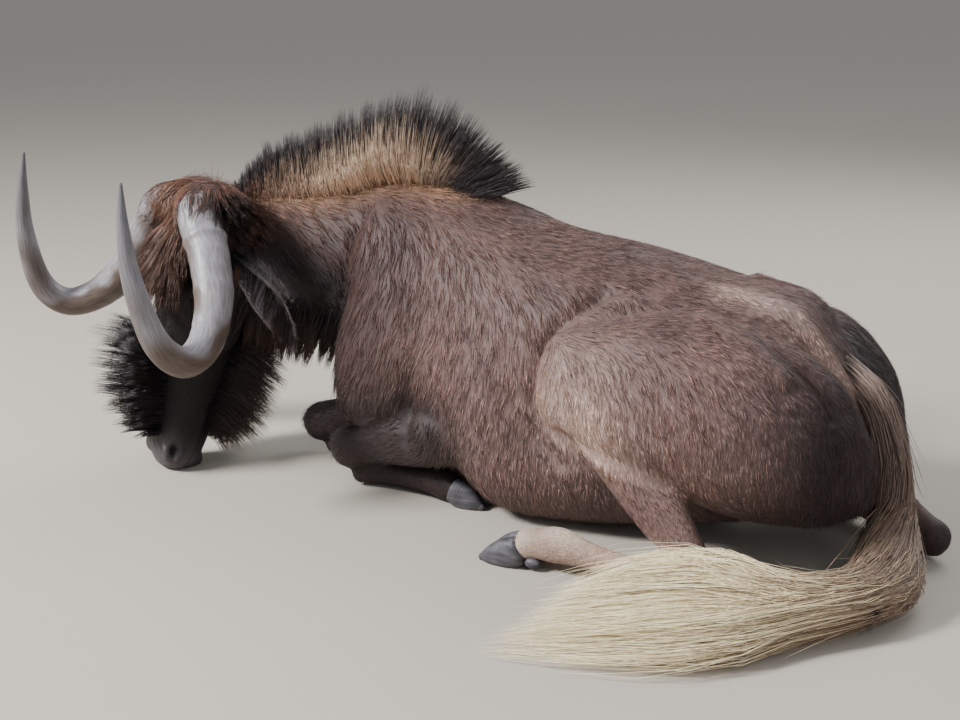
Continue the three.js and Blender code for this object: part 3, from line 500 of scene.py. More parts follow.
# Behind the loin the right side lies farther back and lower than the left.
LOIN, RIGHT_BACK, RIGHT_DROP = -480, 40, 20
for line, width, height in BODY_STROKES:
    press([(x, -y, z) for x, y, z in line], width, height)
    right = [(x + RIGHT_BACK, y, z - RIGHT_DROP) if x > LOIN else (x, y, z) for x, y, z in line]
    press(right, width, height)

# The bent neck creases on its inner side.
NECK_CREASES, CREASE_GAP = 3, 28
for k in range(NECK_CREASES):
    x = -1075 - CREASE_GAP * k
    press([(x + 30, -150 - 16 * k, 470), (x, -165 - 20 * k, 400), (x + 16, -150 - 22 * k, 330)], 9, -6)

# The head's own strokes, on both sides: the mouth's line, the upper lip, the chin, the hollow
# below the cheek, the tear gland, the brow and the side of the nose. Then come the nostrils.
FACE_STROKES = [
    ([(-31, 384, 40), (-22, 430, 46), (-10, 470, 48), (6, 500, 44), (20, 514, 20)], 4.5, -5),
    ([(-18, 400, 46), (-6, 450, 50), (8, 490, 48)], 9, 2.5),
    ([(-44, 430, 36), (-36, 478, 36)], 10, 2),
    ([(-60, 262, 46), (-30, 300, 54), (20, 320, 54)], 20, -4),
    ([(58, 182, 76), (40, 205, 76), (20, 232, 66)], 7, -5),
    ([(74, 118, 66), (60, 110, 82), (34, 112, 90)], 7, 4),
    ([(66, 300, 40), (64, 380, 40)], 14, -2.5),
]
NOSTRIL_RIM = [(60, 470, 44), (52, 490, 44), (36, 494, 48), (30, 474, 52)]
NOSTRIL_DEPTH, NOSTRIL_LIP = -15, 4
LOWEST = 0.0004
face = head_mm(co)


def on_side(line, side):
    """A line of the head's left side, or the same line on its right."""
    return [(f, a, l * side) for f, a, l in line]


for side in (1, -1):
    for line, width, height in FACE_STROKES:
        co += normals * (near_line(face, on_side(line, side), width) * height * MM)[:, None]
    nostril = near(face, (43, 472, 52 * side), (8.5, 16, 22))
    co += normals * (nostril * NOSTRIL_DEPTH * MM)[:, None]
    rim = near_line(face, on_side(NOSTRIL_RIM, side), 7)
    co += normals * (rim * NOSTRIL_LIP * MM)[:, None]
co[:, 2] = np.maximum(co[:, 2], LOWEST)
move_vertices(hide, co)

skin = bpy.data.objects.new("skin", hide)
bpy.context.scene.collection.objects.link(skin)
thin = skin.modifiers.new("thin", "DECIMATE")
thin.ratio = min(1.0, SKIN_TRIANGLES / (2.0 * len(hide.polygons)))
hide = bpy.data.meshes.new_from_object(skin.evaluated_get(bpy.context.evaluated_depsgraph_get()))
skin.modifiers.clear()
skin.data = hide
hide.name = "skin"

# The ears and the eyelids belong to the hide: an ear is a thin leaf rolled shut at its foot and
# open toward the front and side, and a pair of lids closes round each eye with a crease above.
# An ear's stations are places down, out of and beside the face, its half width and its depth.
EAR = [
    (86, -22, 60, 18, 16), (128, -60, 92, 25, 19), (165, -90, 104, 28, 15), (205, -120, 108, 23, 11),
    (240, -146, 106, 12, 6), (256, -158, 104, 3, 2),
]
EAR_LINE = [(f, a, l) for a, f, l, _, _ in EAR]
EAR_HALVES = [row[3] for row in EAR]
EAR_THICKNESS = 3.0
EYE_AT = (44, 150, 72)
EYE_RADIUS = 19
LID_THICKNESS = 1.6
LID_RINGS = 15


def eye_frame(side):
    """The eye's own frame: its look, its upward direction and the line between its corners."""
    look = Vector((0.34, 0.10, 0.93 * side)).normalized()
    corner = Vector((-0.34, 0.94, 0)).cross(look).cross(look).normalized()
    turn = Matrix((corner, look.cross(corner), look)).transposed().to_4x4()
    return Matrix.Translation(on_side([EYE_AT], side)[0]) @ turn


whole = bmesh.new()
whole.from_mesh(hide)
spare = bpy.data.meshes.new("spare")
for side in (1, -1):
    extra = bmesh.new()
    bmesh.ops.create_grid(extra, x_segments=22, y_segments=40, size=1.0)
    rows = np.array([(f, a, l * side, half, depth) for a, f, l, half, depth in EAR], float)
    for vert in extra.verts:
        s, t = vert.co.x, (vert.co.y + 1) / 2
        row = smooth(rows, t * (len(rows) - 1))
        ahead = smooth(rows, min(t + NUDGE, 1) * 5)[:3] - smooth(rows, max(t - NUDGE, 0) * 5)[:3]
        ahead /= np.linalg.norm(ahead)
        opening = np.array([0.62, 0.1, 0.78 * side])
        opening -= ahead * (opening @ ahead)
        opening /= np.linalg.norm(opening)
        wide = np.cross(ahead, opening)
        roll = 2.6 - 1.5 * min(t * 1.6, 1)
        lobe = row[3] * (1.0 if t > 0.3 else 0.8 + 0.67 * t)
        point = row[:3] + wide * lobe * math.sin(s * roll) / max(math.sin(min(roll, 1.57)), 0.6)
        vert.co = HEAD @ Vector(point + opening * row[4] * (0.6 - 1.6 * math.cos(s * roll) * 0.7))
    everything = extra.faces[:] + extra.verts[:] + extra.edges[:]
    bmesh.ops.solidify(extra, geom=everything, thickness=EAR_THICKNESS)
    bmesh.ops.recalc_face_normals(extra, faces=extra.faces)
    socket = HEAD @ eye_frame(side)
    before = None
    for k in range(LID_RINGS):
        ring = bmesh.ops.create_circle(extra, cap_ends=False, segments=40, radius=1.0)["verts"]
        loop = edges_of(ring)
        for vert in ring:
            across, rise = vert.co.x, vert.co.y
            slit = math.radians(23 + 38 * abs(across) ** 1.5 + (6 if rise > 0 else 0))
            turn = slit + (math.radians(104) - slit) * (k / (LID_RINGS - 1)) ** 1.2
            crease = 1.6 * math.exp(-((k - 1) / 1.6) ** 2) - 1.1 * math.exp(-((k - 5) / 1.3) ** 2)
            reach = EYE_RADIUS + 0.9 + max(crease, -0.7) * (1.3 if rise > 0 else 0.9)
            flat = Vector((across, rise, 0)) * math.sin(turn) * reach
            vert.co = socket @ (flat + Vector((0, 0, math.cos(turn) * reach)))
        if before is not None:
            bmesh.ops.bridge_loops(extra, edges=before + loop)
        before = loop
    middle = socket.translation
    lids = [face for face in extra.faces if (face.calc_center_median() - middle).length < EYE_RADIUS + 4]
    bmesh.ops.recalc_face_normals(extra, faces=lids)
    rim = dict.fromkeys(item for face in lids for item in list(face.verts) + list(face.edges))
    bmesh.ops.solidify(extra, geom=lids + list(rim), thickness=-LID_THICKNESS)
    extra.transform(IN_PLACE)
    extra.to_mesh(spare)
    extra.free()
    whole.from_mesh(spare)
whole.to_mesh(hide)
whole.free()
bpy.data.meshes.remove(spare)
shade_smooth(hide)

# The crest from behind the withers to the poll, with the height of the mane's hair at each place.
CREST = [
    (-690, 0, 545, 50),
    (-765, 0, 560, 120),
    (-850, 0, 562, 160),
    (-950, -10, 553, 160),
    (-1050, -44, 535, 128),
    (-1135, -92, 524, 96),
    (-1190, -140, 508, 72),
]


def noise(points, scale, seed):
    """A soft uneven pattern between -1 and 1, by a few crossed waves."""
    draw = np.random.default_rng(seed)
    total = np.zeros(len(points))
    for _ in range(7):
        wave = draw.normal(size=3)
        wave *= 2 * math.pi / (scale * np.linalg.norm(wave)) * draw.uniform(0.6, 1.7)
        total += np.sin(points @ wave + draw.uniform(0, 6.3))
    return total / 4


FLANK = (0.178, 0.108, 0.098)
SHOULDER = (0.080, 0.043, 0.039)
BACK = (0.122, 0.072, 0.063)
HINDQUARTER_HIGHLIGHT = (0.620, 0.440, 0.380)
RUMP_SHADE = (0.040, 0.023, 0.023)
BELLY_SHADE = (0.110, 0.066, 0.058)
CREST_TAN = (0.350, 0.200, 0.118)
POLL_RED = (0.150, 0.072, 0.046)
FACE_BLACK = (0.0095, 0.0068, 0.0074)
MUZZLE_GREY_AND_SHINE = (0.115, 0.098, 0.106)
FOOT_TAN = (0.480, 0.330, 0.262)
PASTERN_PALE = (0.720, 0.580, 0.480)
FORELEG = (0.036, 0.022, 0.021)
EAR_GREY = (0.250, 0.212, 0.245)
EAR_EDGE = (0.420, 0.360, 0.340)
HOLLOW_SHADE = (0.010, 0.007, 0.007)
CROUP_HIGHLIGHT = [(-190, -60, 445), (-123, -62, 432), (-70, -55, 407), (10, -40, 300)]
THROAT = [(-1172, -180, 300), (-1110, -150, 290), (-1020, -100, 270), (-930, -60, 230)]


def ramp(value, start, end):
    """0 up to a start, rising evenly to 1 at an end, which may be the lower of the two."""
    return np.clip((value - start) / (end - start), 0, 1)


def blend(first, second, share):
    """Part first and part second, by the second's share."""
    return np.asarray(first) * (1 - share) + np.asarray(second) * share


def coat_colour(points):
    """The animal's markings at any point, with painted highlights and painted shade, shared by the hide and
    by every tuft on it.
    """
    where = body_mm(points)
    face = head_mm(points)
    x, y, z = where.T
    colour = np.tile(FLANK, (len(points), 1))

    def lay(tone, share):
        nonlocal colour
        share = np.clip(share, 0, 1)[:, None]
        colour = blend(colour, tone, share)

    lay(BACK, ramp(z, 300, 460))
    lay(SHOULDER, ramp(x, -700, -810))
    # Painted shade: the underside darkened toward the floor.
    lay(BELLY_SHADE, ramp(z, 120, 30) * 0.8)
    # Painted highlights: a pale pool of light on the front of the left haunch and a weaker one on the right
    # haunch.
    lay(HINDQUARTER_HIGHLIGHT, 1.1 * near(where, (-340, -255, 236), (86, 130, 92)))
    lay(HINDQUARTER_HIGHLIGHT, 0.5 * near(where, (-270, 260, 200), (90, 130, 90)))
    # Painted shade: the rear of the rump, and more on the right buttock, darkened on the sides turned from
    # the light.
    lay(RUMP_SHADE, ramp(x, -90, 40))
    lay(RUMP_SHADE, ramp(x, -150, -40) * ramp(y, 20, 90))
    # Painted shade in the hollow behind each haunch.
    for side in (1, -1):
        lay(HOLLOW_SHADE, 0.75 * near(where, (-6, 150 * side, 200), (62, 70, 110)))
    # A painted highlight in a band along the left of the croup, over its ridge.
    lay(HINDQUARTER_HIGHLIGHT, 0.42 * near_line(where, CROUP_HIGHLIGHT, 32))
    # Painted shade in the fold behind each elbow and in each groin.
    for side in (1, -1):
        elbow = [(-735, 205 * side, 235), (-720, 212 * side, 150), (-650, 215 * side, 96)]
        lay(BELLY_SHADE, 1.2 * near_line(where, elbow, 52))
        groin_shade = [(-330, 236 * side, 110), (-250, 200 * side, 70), (-150, 170 * side, 60)]
        lay(BELLY_SHADE, 1.2 * near_line(where, groin_shade, 60))
    crest = [row[:3] for row in CREST[1:]]
    lay(CREST_TAN, 1.0 * near_line(where, crest, 56))
    for pose in HIND.values():
        hock, fetlock, toe = pose["hock"], pose["fetlock"], pose["toe"]
        knee = mix(pose["stifle"], hock, 0.55)
        lay(FLANK, 0.8 * near_line(where, [knee, hock], 46) * (z < 150))
        lay(FOOT_TAN, 1.5 * near_line(where, [mix(hock, fetlock, 0.2), fetlock, toe], 34))
        lay(FORELEG, 1.1 * near(where, (hock[0] + 24, hock[1], hock[2]), (52, 56, 44)))
        lay(PASTERN_PALE, 1.25 * near(where, mix(fetlock, toe, 0.46), (20, 34, 40)))
        lay(PASTERN_PALE, 0.7 * near(where, (fetlock[0] + 10, fetlock[1], fetlock[2] + 24), (42, 30, 16)))
    for pose in FORE.values():
        forearm = [mix(pose["elbow"], pose["knee"], 0.3), pose["knee"]]
        lay(FORELEG, 1.6 * near_line(where, forearm, 64) * (z < 150))
        lay(FORELEG, 1.6 * near_line(where, [pose["top"], pose["fetlock"], pose["toe"]], 40))
    down = face[:, 1]
    head = np.clip(1.25 - np.abs(face[:, 0]) / 160, 0, 1) * np.clip(1.3 - np.abs(face[:, 2]) / 130, 0, 1)
    head = head * ramp(down, -30, 10) * ramp(down, 620, 560)
    lay(FACE_BLACK, 2.2 * head * ramp(down, 70, 150))
    lay(POLL_RED, 1.6 * head * ramp(down, 110, 20))
    lay(POLL_RED, 0.75 * near(face, (84, 120, 0), (40, 70, 44)))
    lay(FACE_BLACK, 1.3 * near_line(where, THROAT, 105) * ramp(z, 400, 310))
    for side in (1, -1):
        jowl = [(-1130, -60 + 120 * side, 415), (-985, 155 * side, 355)]
        lay(FACE_BLACK, 1.2 * near_line(where, jowl, 88))
        # Painted shade in each armpit, in the dark foreleg tone.
        armpit_shade = [(-900, 165 * side, 130), (-800, 185 * side, 145), (-690, 205 * side, 150)]
        lay(FORELEG, 1.3 * near_line(where, armpit_shade, 66))
    # The nose end is grey: its bare skin, with a painted shine on it.
    lay(MUZZLE_GREY_AND_SHINE, 1.3 * near(face, (20, 496, 0), (60, 34, 60)))
    for side in (1, -1):
        place, off = along(face, on_side(EAR_LINE, side))
        lay(EAR_GREY, 2.2 * np.exp(-((off / 34) ** 2)) * np.clip(place - 0.3, 0, 1))
        rim = np.interp(place, range(6), EAR_HALVES)
        lay(EAR_EDGE, 0.8 * np.clip((off - 0.78 * rim) / 5, 0, 1) * (off < 40) * np.clip(place - 0.5, 0, 1))
        # A painted shine beside each nostril.
        lay(MUZZLE_GREY_AND_SHINE, near(face, (56, 470, 46 * side), (22, 30, 24)))
        # Painted shade inside each nostril.
        lay(HOLLOW_SHADE, 1.4 * near(face, (43, 472, 46 * side), (8, 14, 18)))
    shade = 1 + 0.13 * noise(where, 150, 5) + 0.05 * noise(where, 38, 6)
    return np.clip(colour * shade[:, None], 0.004, 1)


def paint(mesh, colours):
    """Gives a mesh its colours, one for each vertex: its markings, and on the hide and horns painted light
    and shade as well.
    """
    layer = mesh.color_attributes.new("Coat", "FLOAT_COLOR", "POINT")
    rgba = np.ones((len(mesh.vertices), 4), np.float32)
    rgba[:, :3] = colours
    layer.data.foreach_set("color", rgba.ravel())


# Under the hair the hide is darker than the coat: partly its darker underfur, partly painted shade in the
# gaps between the hairs.
UNDERFUR_AND_GAP_SHADE = 0.62
paint(hide, coat_colour(read_vertices(hide, "co")) * UNDERFUR_AND_GAP_SHADE)


def hair_finish(name, roughness, grain, depth, sheen=0.0, swing=0.38, gloss=0.30):
    """A finish of hair or horn: the piece's vertex colours, painted light and shade included where they
    carry it, broken up and raised by fine streaks.
    """
    finish = bpy.data.materials.new(name)
    finish.use_nodes = True
    tree = finish.node_tree
    shader = tree.nodes["Principled BSDF"]
    shader.inputs["Roughness"].default_value = roughness
    shader.inputs["Specular IOR Level"].default_value = gloss
    shader.inputs["Sheen Weight"].default_value = sheen
    shader.inputs["Sheen Roughness"].default_value = 0.4
    marks = tree.nodes.new("ShaderNodeAttribute")
    marks.attribute_name = "Coat"
    place = tree.nodes.new("ShaderNodeTexCoord")
    turn = tree.nodes.new("ShaderNodeMapping")
    turn.inputs["Scale"].default_value = grain
    streaks = tree.nodes.new("ShaderNodeTexNoise")
    streaks.inputs["Scale"].default_value = 1.0
    streaks.inputs["Detail"].default_value = 4.0
    levels = tree.nodes.new("ShaderNodeMapRange")
    levels.inputs["From Min"].default_value = 0.3
    levels.inputs["From Max"].default_value = 0.7
    levels.inputs["To Min"].default_value = 1 - swing
    levels.inputs["To Max"].default_value = 1 + swing
    tint = tree.nodes.new("ShaderNodeVectorMath")
    tint.operation = "MULTIPLY"
    bump = tree.nodes.new("ShaderNodeBump")
    bump.inputs["Strength"].default_value = 0.55
    bump.inputs["Distance"].default_value = depth
    tree.links.new(place.outputs["Object"], turn.inputs["Vector"])
    tree.links.new(turn.outputs["Vector"], streaks.inputs["Vector"])
    tree.links.new(streaks.outputs["Fac"], levels.inputs["Value"])
    tree.links.new(marks.outputs["Color"], tint.inputs[0])
    tree.links.new(levels.outputs["Result"], tint.inputs[1])
    tree.links.new(tint.outputs["Vector"], shader.inputs["Base Color"])
    tree.links.new(streaks.outputs["Fac"], bump.inputs["Height"])
    tree.links.new(bump.outputs["Normal"], shader.inputs["Normal"])
    return finish


hide.materials.append(hair_finish("hide", 0.62, (420, 420, 120), 0.0010, swing=0.30))
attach(skin, "root")
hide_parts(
    "torso", "brisket", "neck", "head", "lower_jaw", "forearm_left", "forearm_right",
    "cannon_left", "cannon_right", "thigh_left", "thigh_right", "shank_left", "shank_right",
    "foot_hind_left", "foot_hind_right", "tail_dock", "ear_left", "ear_right",
)

# The eyes: dark wet balls set deep under the brow, with a wide pupil lying level in a brown
# iris. Only the part between the lids shows.
EYE_BLACK = (0.004, 0.003, 0.003)
IRIS_BROWN = (0.030, 0.013, 0.006)
EYE_WHITE = (0.020, 0.014, 0.012)
EYE_FIBRES = 46
IRIS, RIM, PUPIL_WIDE, PUPIL_HIGH = 0.78, (0.72, 0.84), 0.44, 0.27
eye_finish = bpy.data.materials.new("wet_eye")
eye_finish.use_nodes = True
shader = eye_finish.node_tree.nodes["Principled BSDF"]
shader.inputs["Roughness"].default_value = 0.08
shader.inputs["Coat Weight"].default_value = 1.0
shader.inputs["Coat Roughness"].default_value = 0.03
marks = eye_finish.node_tree.nodes.new("ShaderNodeAttribute")
marks.attribute_name = "Coat"
eye_finish.node_tree.links.new(marks.outputs["Color"], shader.inputs["Base Color"])


def mesh_from(shape, name):
    """The smooth mesh of a finished shape."""
    mesh = bpy.data.meshes.new(name)
    shape.to_mesh(mesh)
    shape.free()
    shade_smooth(mesh)
    return mesh


def piece_of(mesh, finish):
    """A piece of the scene, of a mesh and its finish."""
    mesh.materials.append(finish)
    piece = bpy.data.objects.new(mesh.name, mesh)
    bpy.context.scene.collection.objects.link(piece)
    return piece


for name, side in (("eye_left", 1), ("eye_right", -1)):
    ball = bmesh.new()
    bmesh.ops.create_uvsphere(ball, u_segments=64, v_segments=48, radius=EYE_RADIUS)
    mesh = mesh_from(ball, name)
    wide, high, deep = (read_vertices(mesh, "co") / EYE_RADIUS).T
    spread = np.hypot(wide, high)
    fibres = 1 + 0.35 * np.sin(np.arctan2(high, wide) * EYE_FIBRES) * np.clip(spread * 2, 0, 1)
    iris = (deep > 0) & (spread < IRIS)
    rim = (deep > 0) & (spread >= RIM[0]) & (spread < RIM[1])
    pupil = (deep > 0) & ((wide / PUPIL_WIDE) ** 2 + (high / PUPIL_HIGH) ** 2 < 1)
    tones = np.tile(EYE_WHITE, (len(wide), 1))
    tones[iris] = np.array(IRIS_BROWN) * fibres[iris, None]
    tones[rim | pupil] = EYE_BLACK
    paint(mesh, tones)
    mesh.transform(IN_PLACE @ HEAD @ eye_frame(side))
    eye = piece_of(mesh, eye_finish)
    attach(eye, "root")
    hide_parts(name)

# The horns: a pair of sheaths of horn over bone, from a rough, ringed boss over the brow. They
# sweep down and forward before the bare points rise. They are painted pale where they face up and
# brown where they face down, as light and shade from above, over their own brown at the bend.
HORN_PALE = (0.225, 0.213, 0.226)
HORN_BROWN = (0.084, 0.058, 0.043)
HORN_TIP = (0.085, 0.082, 0.092)
HORN = [
    (5, 42, 28, 41), (22, 62, 78, 41), (82, 62, 140, 39), (156, 70, 200, 36), (222, 102, 254, 32),
    (250, 155, 288, 28), (215, 212, 292, 24), (120, 258, 276, 18), (35, 278, 260, 11), (-39, 287, 250, 2.5),
]
HORN_RINGS, RINGED_TO, RING_HEIGHT, RING_WIDTH = 30, 4.6, 1.5, 0.055
horn_finish = hair_finish("horn", 0.40, (7, 7, 26), 0.0016, swing=0.26)
tree = horn_finish.node_tree
mapping = next(node for node in tree.nodes if node.type == "MAPPING")
grain = tree.nodes.new("ShaderNodeAttribute")
grain.attribute_name = "Grain"
tree.links.new(grain.outputs["Vector"], mapping.inputs["Vector"])
for name, side in (("horn_left", 1), ("horn_right", -1)):
    draw = np.random.default_rng(40 + side)
    rings = np.sort(draw.uniform(0.1, RINGED_TO, HORN_RINGS))
    dense = []
    for t in np.linspace(0, 9, 150):
        down, forward, out, radius = smooth(HORN, t)
        rough = np.clip(1 - t / 5, 0, 1)
        ridge = sum(math.exp(-(((t - r) / RING_WIDTH) ** 2)) for r in rings) * rough
        radius += RING_HEIGHT * ridge - 0.4 * rough
        dense.append(np.array([forward, down, out * side, radius, radius * 0.94, radius * 0.94, 2, 2]))
    sheath = bmesh.new()
    sheath.verts.layers.float_vector.new("Grain")
    form(sheath, dense, sides=48, steps=1, up=(-0.2, 0.3, 1), domes=(14, 2.2), coat=0, place=HEAD)
    bmesh.ops.recalc_face_normals(sheath, faces=sheath.faces)
    mesh = mesh_from(sheath, name)
    mesh.transform(IN_PLACE)
    points = read_vertices(mesh, "co")
    t = np.empty(len(points) * 3, np.float32)
    mesh.attributes["Grain"].data.foreach_get("vector", t)
    t = t.reshape(-1, 3)[:, 2]
    upward = read_vertices(mesh, "normal")[:, 2]
    # Painted shade: the downward-facing side turns brown, most at the bend, where the horn is also its own
    # brown.
    under = np.clip(0.45 - upward + 0.6 * noise(points / MM, 90, 8), 0, 1)
    share = np.clip(under * (0.40 + 1.5 * np.exp(-(((t - 0.5) / 0.24) ** 2))), 0, 0.92)[:, None]
    tones = blend(HORN_PALE, HORN_BROWN, share)
    share = ramp(t, 0.62, 1.02)[:, None]
    tones = blend(tones, HORN_TIP, share)
    share = np.clip(1.3 - t / 0.10, 0, 0.92)[:, None]
    tones = blend(tones, HORN_BROWN, share)
    paint(mesh, tones)
    horn = piece_of(mesh, horn_finish)
    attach(horn, "root")
    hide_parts(name + "_base", name + "_tip")

# The hooves: eight claws of slate-grey horn in pairs, with growth lines parallel to the hair
# line, and a pair of small dewclaws behind each hind fetlock.
SLATE = (0.064, 0.061, 0.069)
CORONET_HEIGHT = 32
GROWTH_LINE, GROWTH_LINES = 0.35, 26
DEWCLAW, DEWCLAW_OUT, DEWCLAW_DOWN = (14, 8, 9), 16.5, 21
CLAW = ((0, 0.46, 22, 27), (0.4, 0.48, 22, 30), (0.75, 0.42, 15, 20), (1, 0.2, 6, 9))
hoof_finish = hair_finish("hoof", 0.5, (30, 30, 140), 0.0008)
for prefix, poses, at, width, apart in (("hind", HIND, 0.5, 34, 17), ("fore", FORE, 0.42, 30, 15.5)):
    for which, pose in poses.items():
        coronet, toe = mix(pose["fetlock"], pose["toe"], at), pose["toe"]
        coronet[2] = CORONET_HEIGHT
        level = Vector(toe) - Vector(coronet)
        across = Vector((-level.y, level.x, 0)).normalized()
        claws = bmesh.new()
        for shift in (apart, -apart):
            rows = []
            for t, half, above, below in CLAW:
                x, y, z = Vector(mix(coronet, toe, t)) + across * shift * (1 - 0.12 * t)
                rows.append(np.array([x, y, z, half * width, above, below, 2, 2.4]))
            dense = []
            for t in np.linspace(0, 3, 40):
                row = smooth(rows, t)
                row[3:6] += GROWTH_LINE * math.sin(t * GROWTH_LINES) * (1 - t / 3)
                dense.append(row)
            form(claws, dense, sides=32, steps=1, domes=(8, 7), coat=0)
        if prefix == "hind":
            base = Vector(mix(pose["fetlock"], pose["toe"], 0.30))
            turn = math.degrees(math.atan2(level.y, level.x))
            for shift in (DEWCLAW_OUT, -DEWCLAW_OUT):
                lump(claws, base + across * shift - Vector(UP) * DEWCLAW_DOWN, DEWCLAW, (0, 0, turn))
        for vert in claws.verts:
            vert.co.z = max(vert.co.z, 0.6)
        bmesh.ops.recalc_face_normals(claws, faces=claws.faces)
        mesh = mesh_from(claws, f"hooves_{prefix}_{which}")
        mesh.transform(IN_PLACE)
        points = read_vertices(mesh, "co") / MM
        paint(mesh, np.array(SLATE) * (1 + 0.25 * noise(points, 30, 9))[:, None])
        hooves = piece_of(mesh, hoof_finish)
        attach(hooves, "root")
        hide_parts(f"hoof_{prefix}_{which}_outer", f"hoof_{prefix}_{which}_inner")

# The coat: short tufts of hair all over the hide, each a thin three-sided blade rooted in the
# skin. They lie rearward on the back, down the flanks, thighs and face, and along the limbs.
FEW = 1.0
WIDER = (1 / FEW) ** 0.4
COAT_TUFTS = 152000
ROOT_DEPTH = 0.0003
hide.calc_loop_triangles()
corners = np.empty(len(hide.loop_triangles) * 3, np.int32)
hide.loop_triangles.foreach_get("vertices", corners)
corners = corners.reshape(-1, 3)
skin_points = read_vertices(hide, "co")
skin_normals = read_vertices(hide, "normal")
areas = np.empty(len(corners), np.float32)
hide.loop_triangles.foreach_get("area", areas)
centres = skin_points[corners].mean(1)
centre_normals = skin_normals[corners].mean(1)


def unit(vectors):
    """The same directions, each of length 1."""
    return vectors / np.maximum(np.linalg.norm(vectors, axis=-1, keepdims=True), 1e-9)


def roots(count, density, draw):
    """Roots spread over the hide by a density for each of its triangles."""
    share = areas * density
    pick = draw.choice(len(corners), int(count * FEW), p=share / share.sum())
    a, b = draw.random((2, len(pick)))
    fold = a + b > 1
    a, b = np.where(fold, 1 - a, a), np.where(fold, 1 - b, b)
    weights = np.stack([1 - a - b, a, b], 1)[:, :, None]
    spot = (skin_points[corners[pick]] * weights).sum(1)
    out = (skin_normals[corners[pick]] * weights).sum(1)
    return spot, unit(out)


# The lines of the trunk, neck, head, tail and limbs, each with its size, are the rolls that the
# hide is unwrapped from.
PARTS = [
    ([(60, 0, 230), (-950, 0, 260)], 230),
    ([(-930, 0, 400), (-1172, -135, 425)], 150),
    ([tuple(HEAD @ Vector((0, 0, 0))), tuple(HEAD @ Vector((0, 510, 0)))], 85),
    ([(40, -10, 280), (110, -40, 80)], 34),
]
PARTS += [([(p["rear"], 165 * p["side"], 200), p["stifle"], p["hock"]], 120) for p in HIND.values()]
PARTS += [(line, 28) for line in HIND_FEET]
PARTS += [([p["elbow"], p["knee"]], 50) for p in FORE.values()]
PARTS += [(line, 26) for line in FORE_FEET]
CELL = (0.25, 1 / 3)
CELL_EDGE, CELL_WIDE, CELL_HIGH = 0.006, 0.236, 0.318
PATCH_REACH = 0.0015


def unwrap(points):
    """A place for each point on an unwrap of the hide: every form rolled out in its own cell."""
    where = body_mm(points)
    off = [along(where, line)[1] / size for line, size in PARTS]
    part = np.argmin(off, axis=0)
    places = np.zeros((len(points), 2))
    for k, (line, _) in enumerate(PARTS):
        own = part == k
        if not own.any():
            continue
        t = along(where[own], line)[0] / (len(line) - 1)
        axis = unit(np.array(line[-1]) - np.array(line[0]))
        side = unit(np.cross(axis, (0.3, 0.1, 1)))
        rel = where[own] - np.array(line[0])
        angle = np.arctan2(rel @ np.cross(side, axis), rel @ side) / (2 * math.pi) + 0.5
        cell = np.array([k % 4, k // 4]) * CELL + CELL_EDGE
        places[own] = cell + np.stack([angle * CELL_WIDE, t * CELL_HIGH], 1)
    return places


TUFT_CLEARANCE = 0.0008


def tufts(name, spine, over, half, ridge, tones, taper, finish, stands_for=()):
    """One piece of coat: a closed, tapering, three-sided tuft along each spine."""
    count, stations = spine.shape[:2]
    segments = stations - 1
    ahead = unit(np.gradient(spine, axis=1))
    over = np.broadcast_to(over[:, None] if over.ndim == 2 else over, spine.shape)
    side = unit(np.cross(over, ahead))
    over = np.cross(ahead, side)
    verts = np.empty((count, 3 * segments + 1, 3))
    colours = np.ones((count, 3 * segments + 1, 4), np.float32)
    for k in range(segments):
        width = (half * taper[k])[:, None]
        verts[:, 3 * k] = spine[:, k] - side[:, k] * width
        verts[:, 3 * k + 1] = spine[:, k] + side[:, k] * width
        verts[:, 3 * k + 2] = spine[:, k] + over[:, k] * width * ridge
        colours[:, 3 * k : 3 * k + 3, :3] = tones[:, k][:, None]
    verts[:, -1] = spine[:, -1]
    colours[:, -1, :3] = tones[:, -1]
    lowest = LOWEST + TUFT_CLEARANCE * (np.arange(verts.shape[1]) % 3 == 2)
    verts[:, :, 2] = np.maximum(verts[:, :, 2], lowest)
    faces = [(0, 2, 1)]
    for k in range(0, 3 * segments - 3, 3):
        for a, b in ((0, 1), (1, 2), (2, 0)):
            faces += [(k + a, k + b, k + b + 3), (k + a, k + b + 3, k + a + 3)]
    k = 3 * segments - 3
    faces += [(k, k + 1, k + 3), (k + 1, k + 2, k + 3), (k + 2, k, k + 3)]
    faces = np.array(faces)
    loops = (faces[None] + (np.arange(count) * (3 * segments + 1))[:, None, None]).reshape(-1)
    mesh = bpy.data.meshes.new(name)
    mesh.vertices.add(count * (3 * segments + 1))
    mesh.vertices.foreach_set("co", verts.astype(np.float32).ravel())
    mesh.loops.add(len(loops))
    mesh.loops.foreach_set("vertex_index", loops.astype(np.int32))
    mesh.polygons.add(len(loops) // 3)
    mesh.polygons.foreach_set("loop_start", np.arange(0, len(loops), 3, dtype=np.int32))
    mesh.update(calc_edges=True)
    shade_smooth(mesh)
    layer = mesh.color_attributes.new("Coat", "FLOAT_COLOR", "POINT")
    layer.data.foreach_set("color", np.clip(colours, 0, 1).ravel())
    patch = np.zeros((3 * segments + 1, 2))
    for k in range(segments):
        for corner, shift in enumerate((-1, 1, 0)):
            patch[3 * k + corner] = (shift * (1 - k / segments), 2 * k / segments - 1)
    patch[-1] = (0, 1)
    places = unwrap(spine[:, 0])[:, None, None] + patch[faces][None] * PATCH_REACH
    mesh.uv_layers.new(name="OFBake").data.foreach_set("uv", places.astype(np.float32).ravel())
    piece = piece_of(mesh, finish)
    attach(piece, "root")
    if stands_for:
        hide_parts(*stands_for)


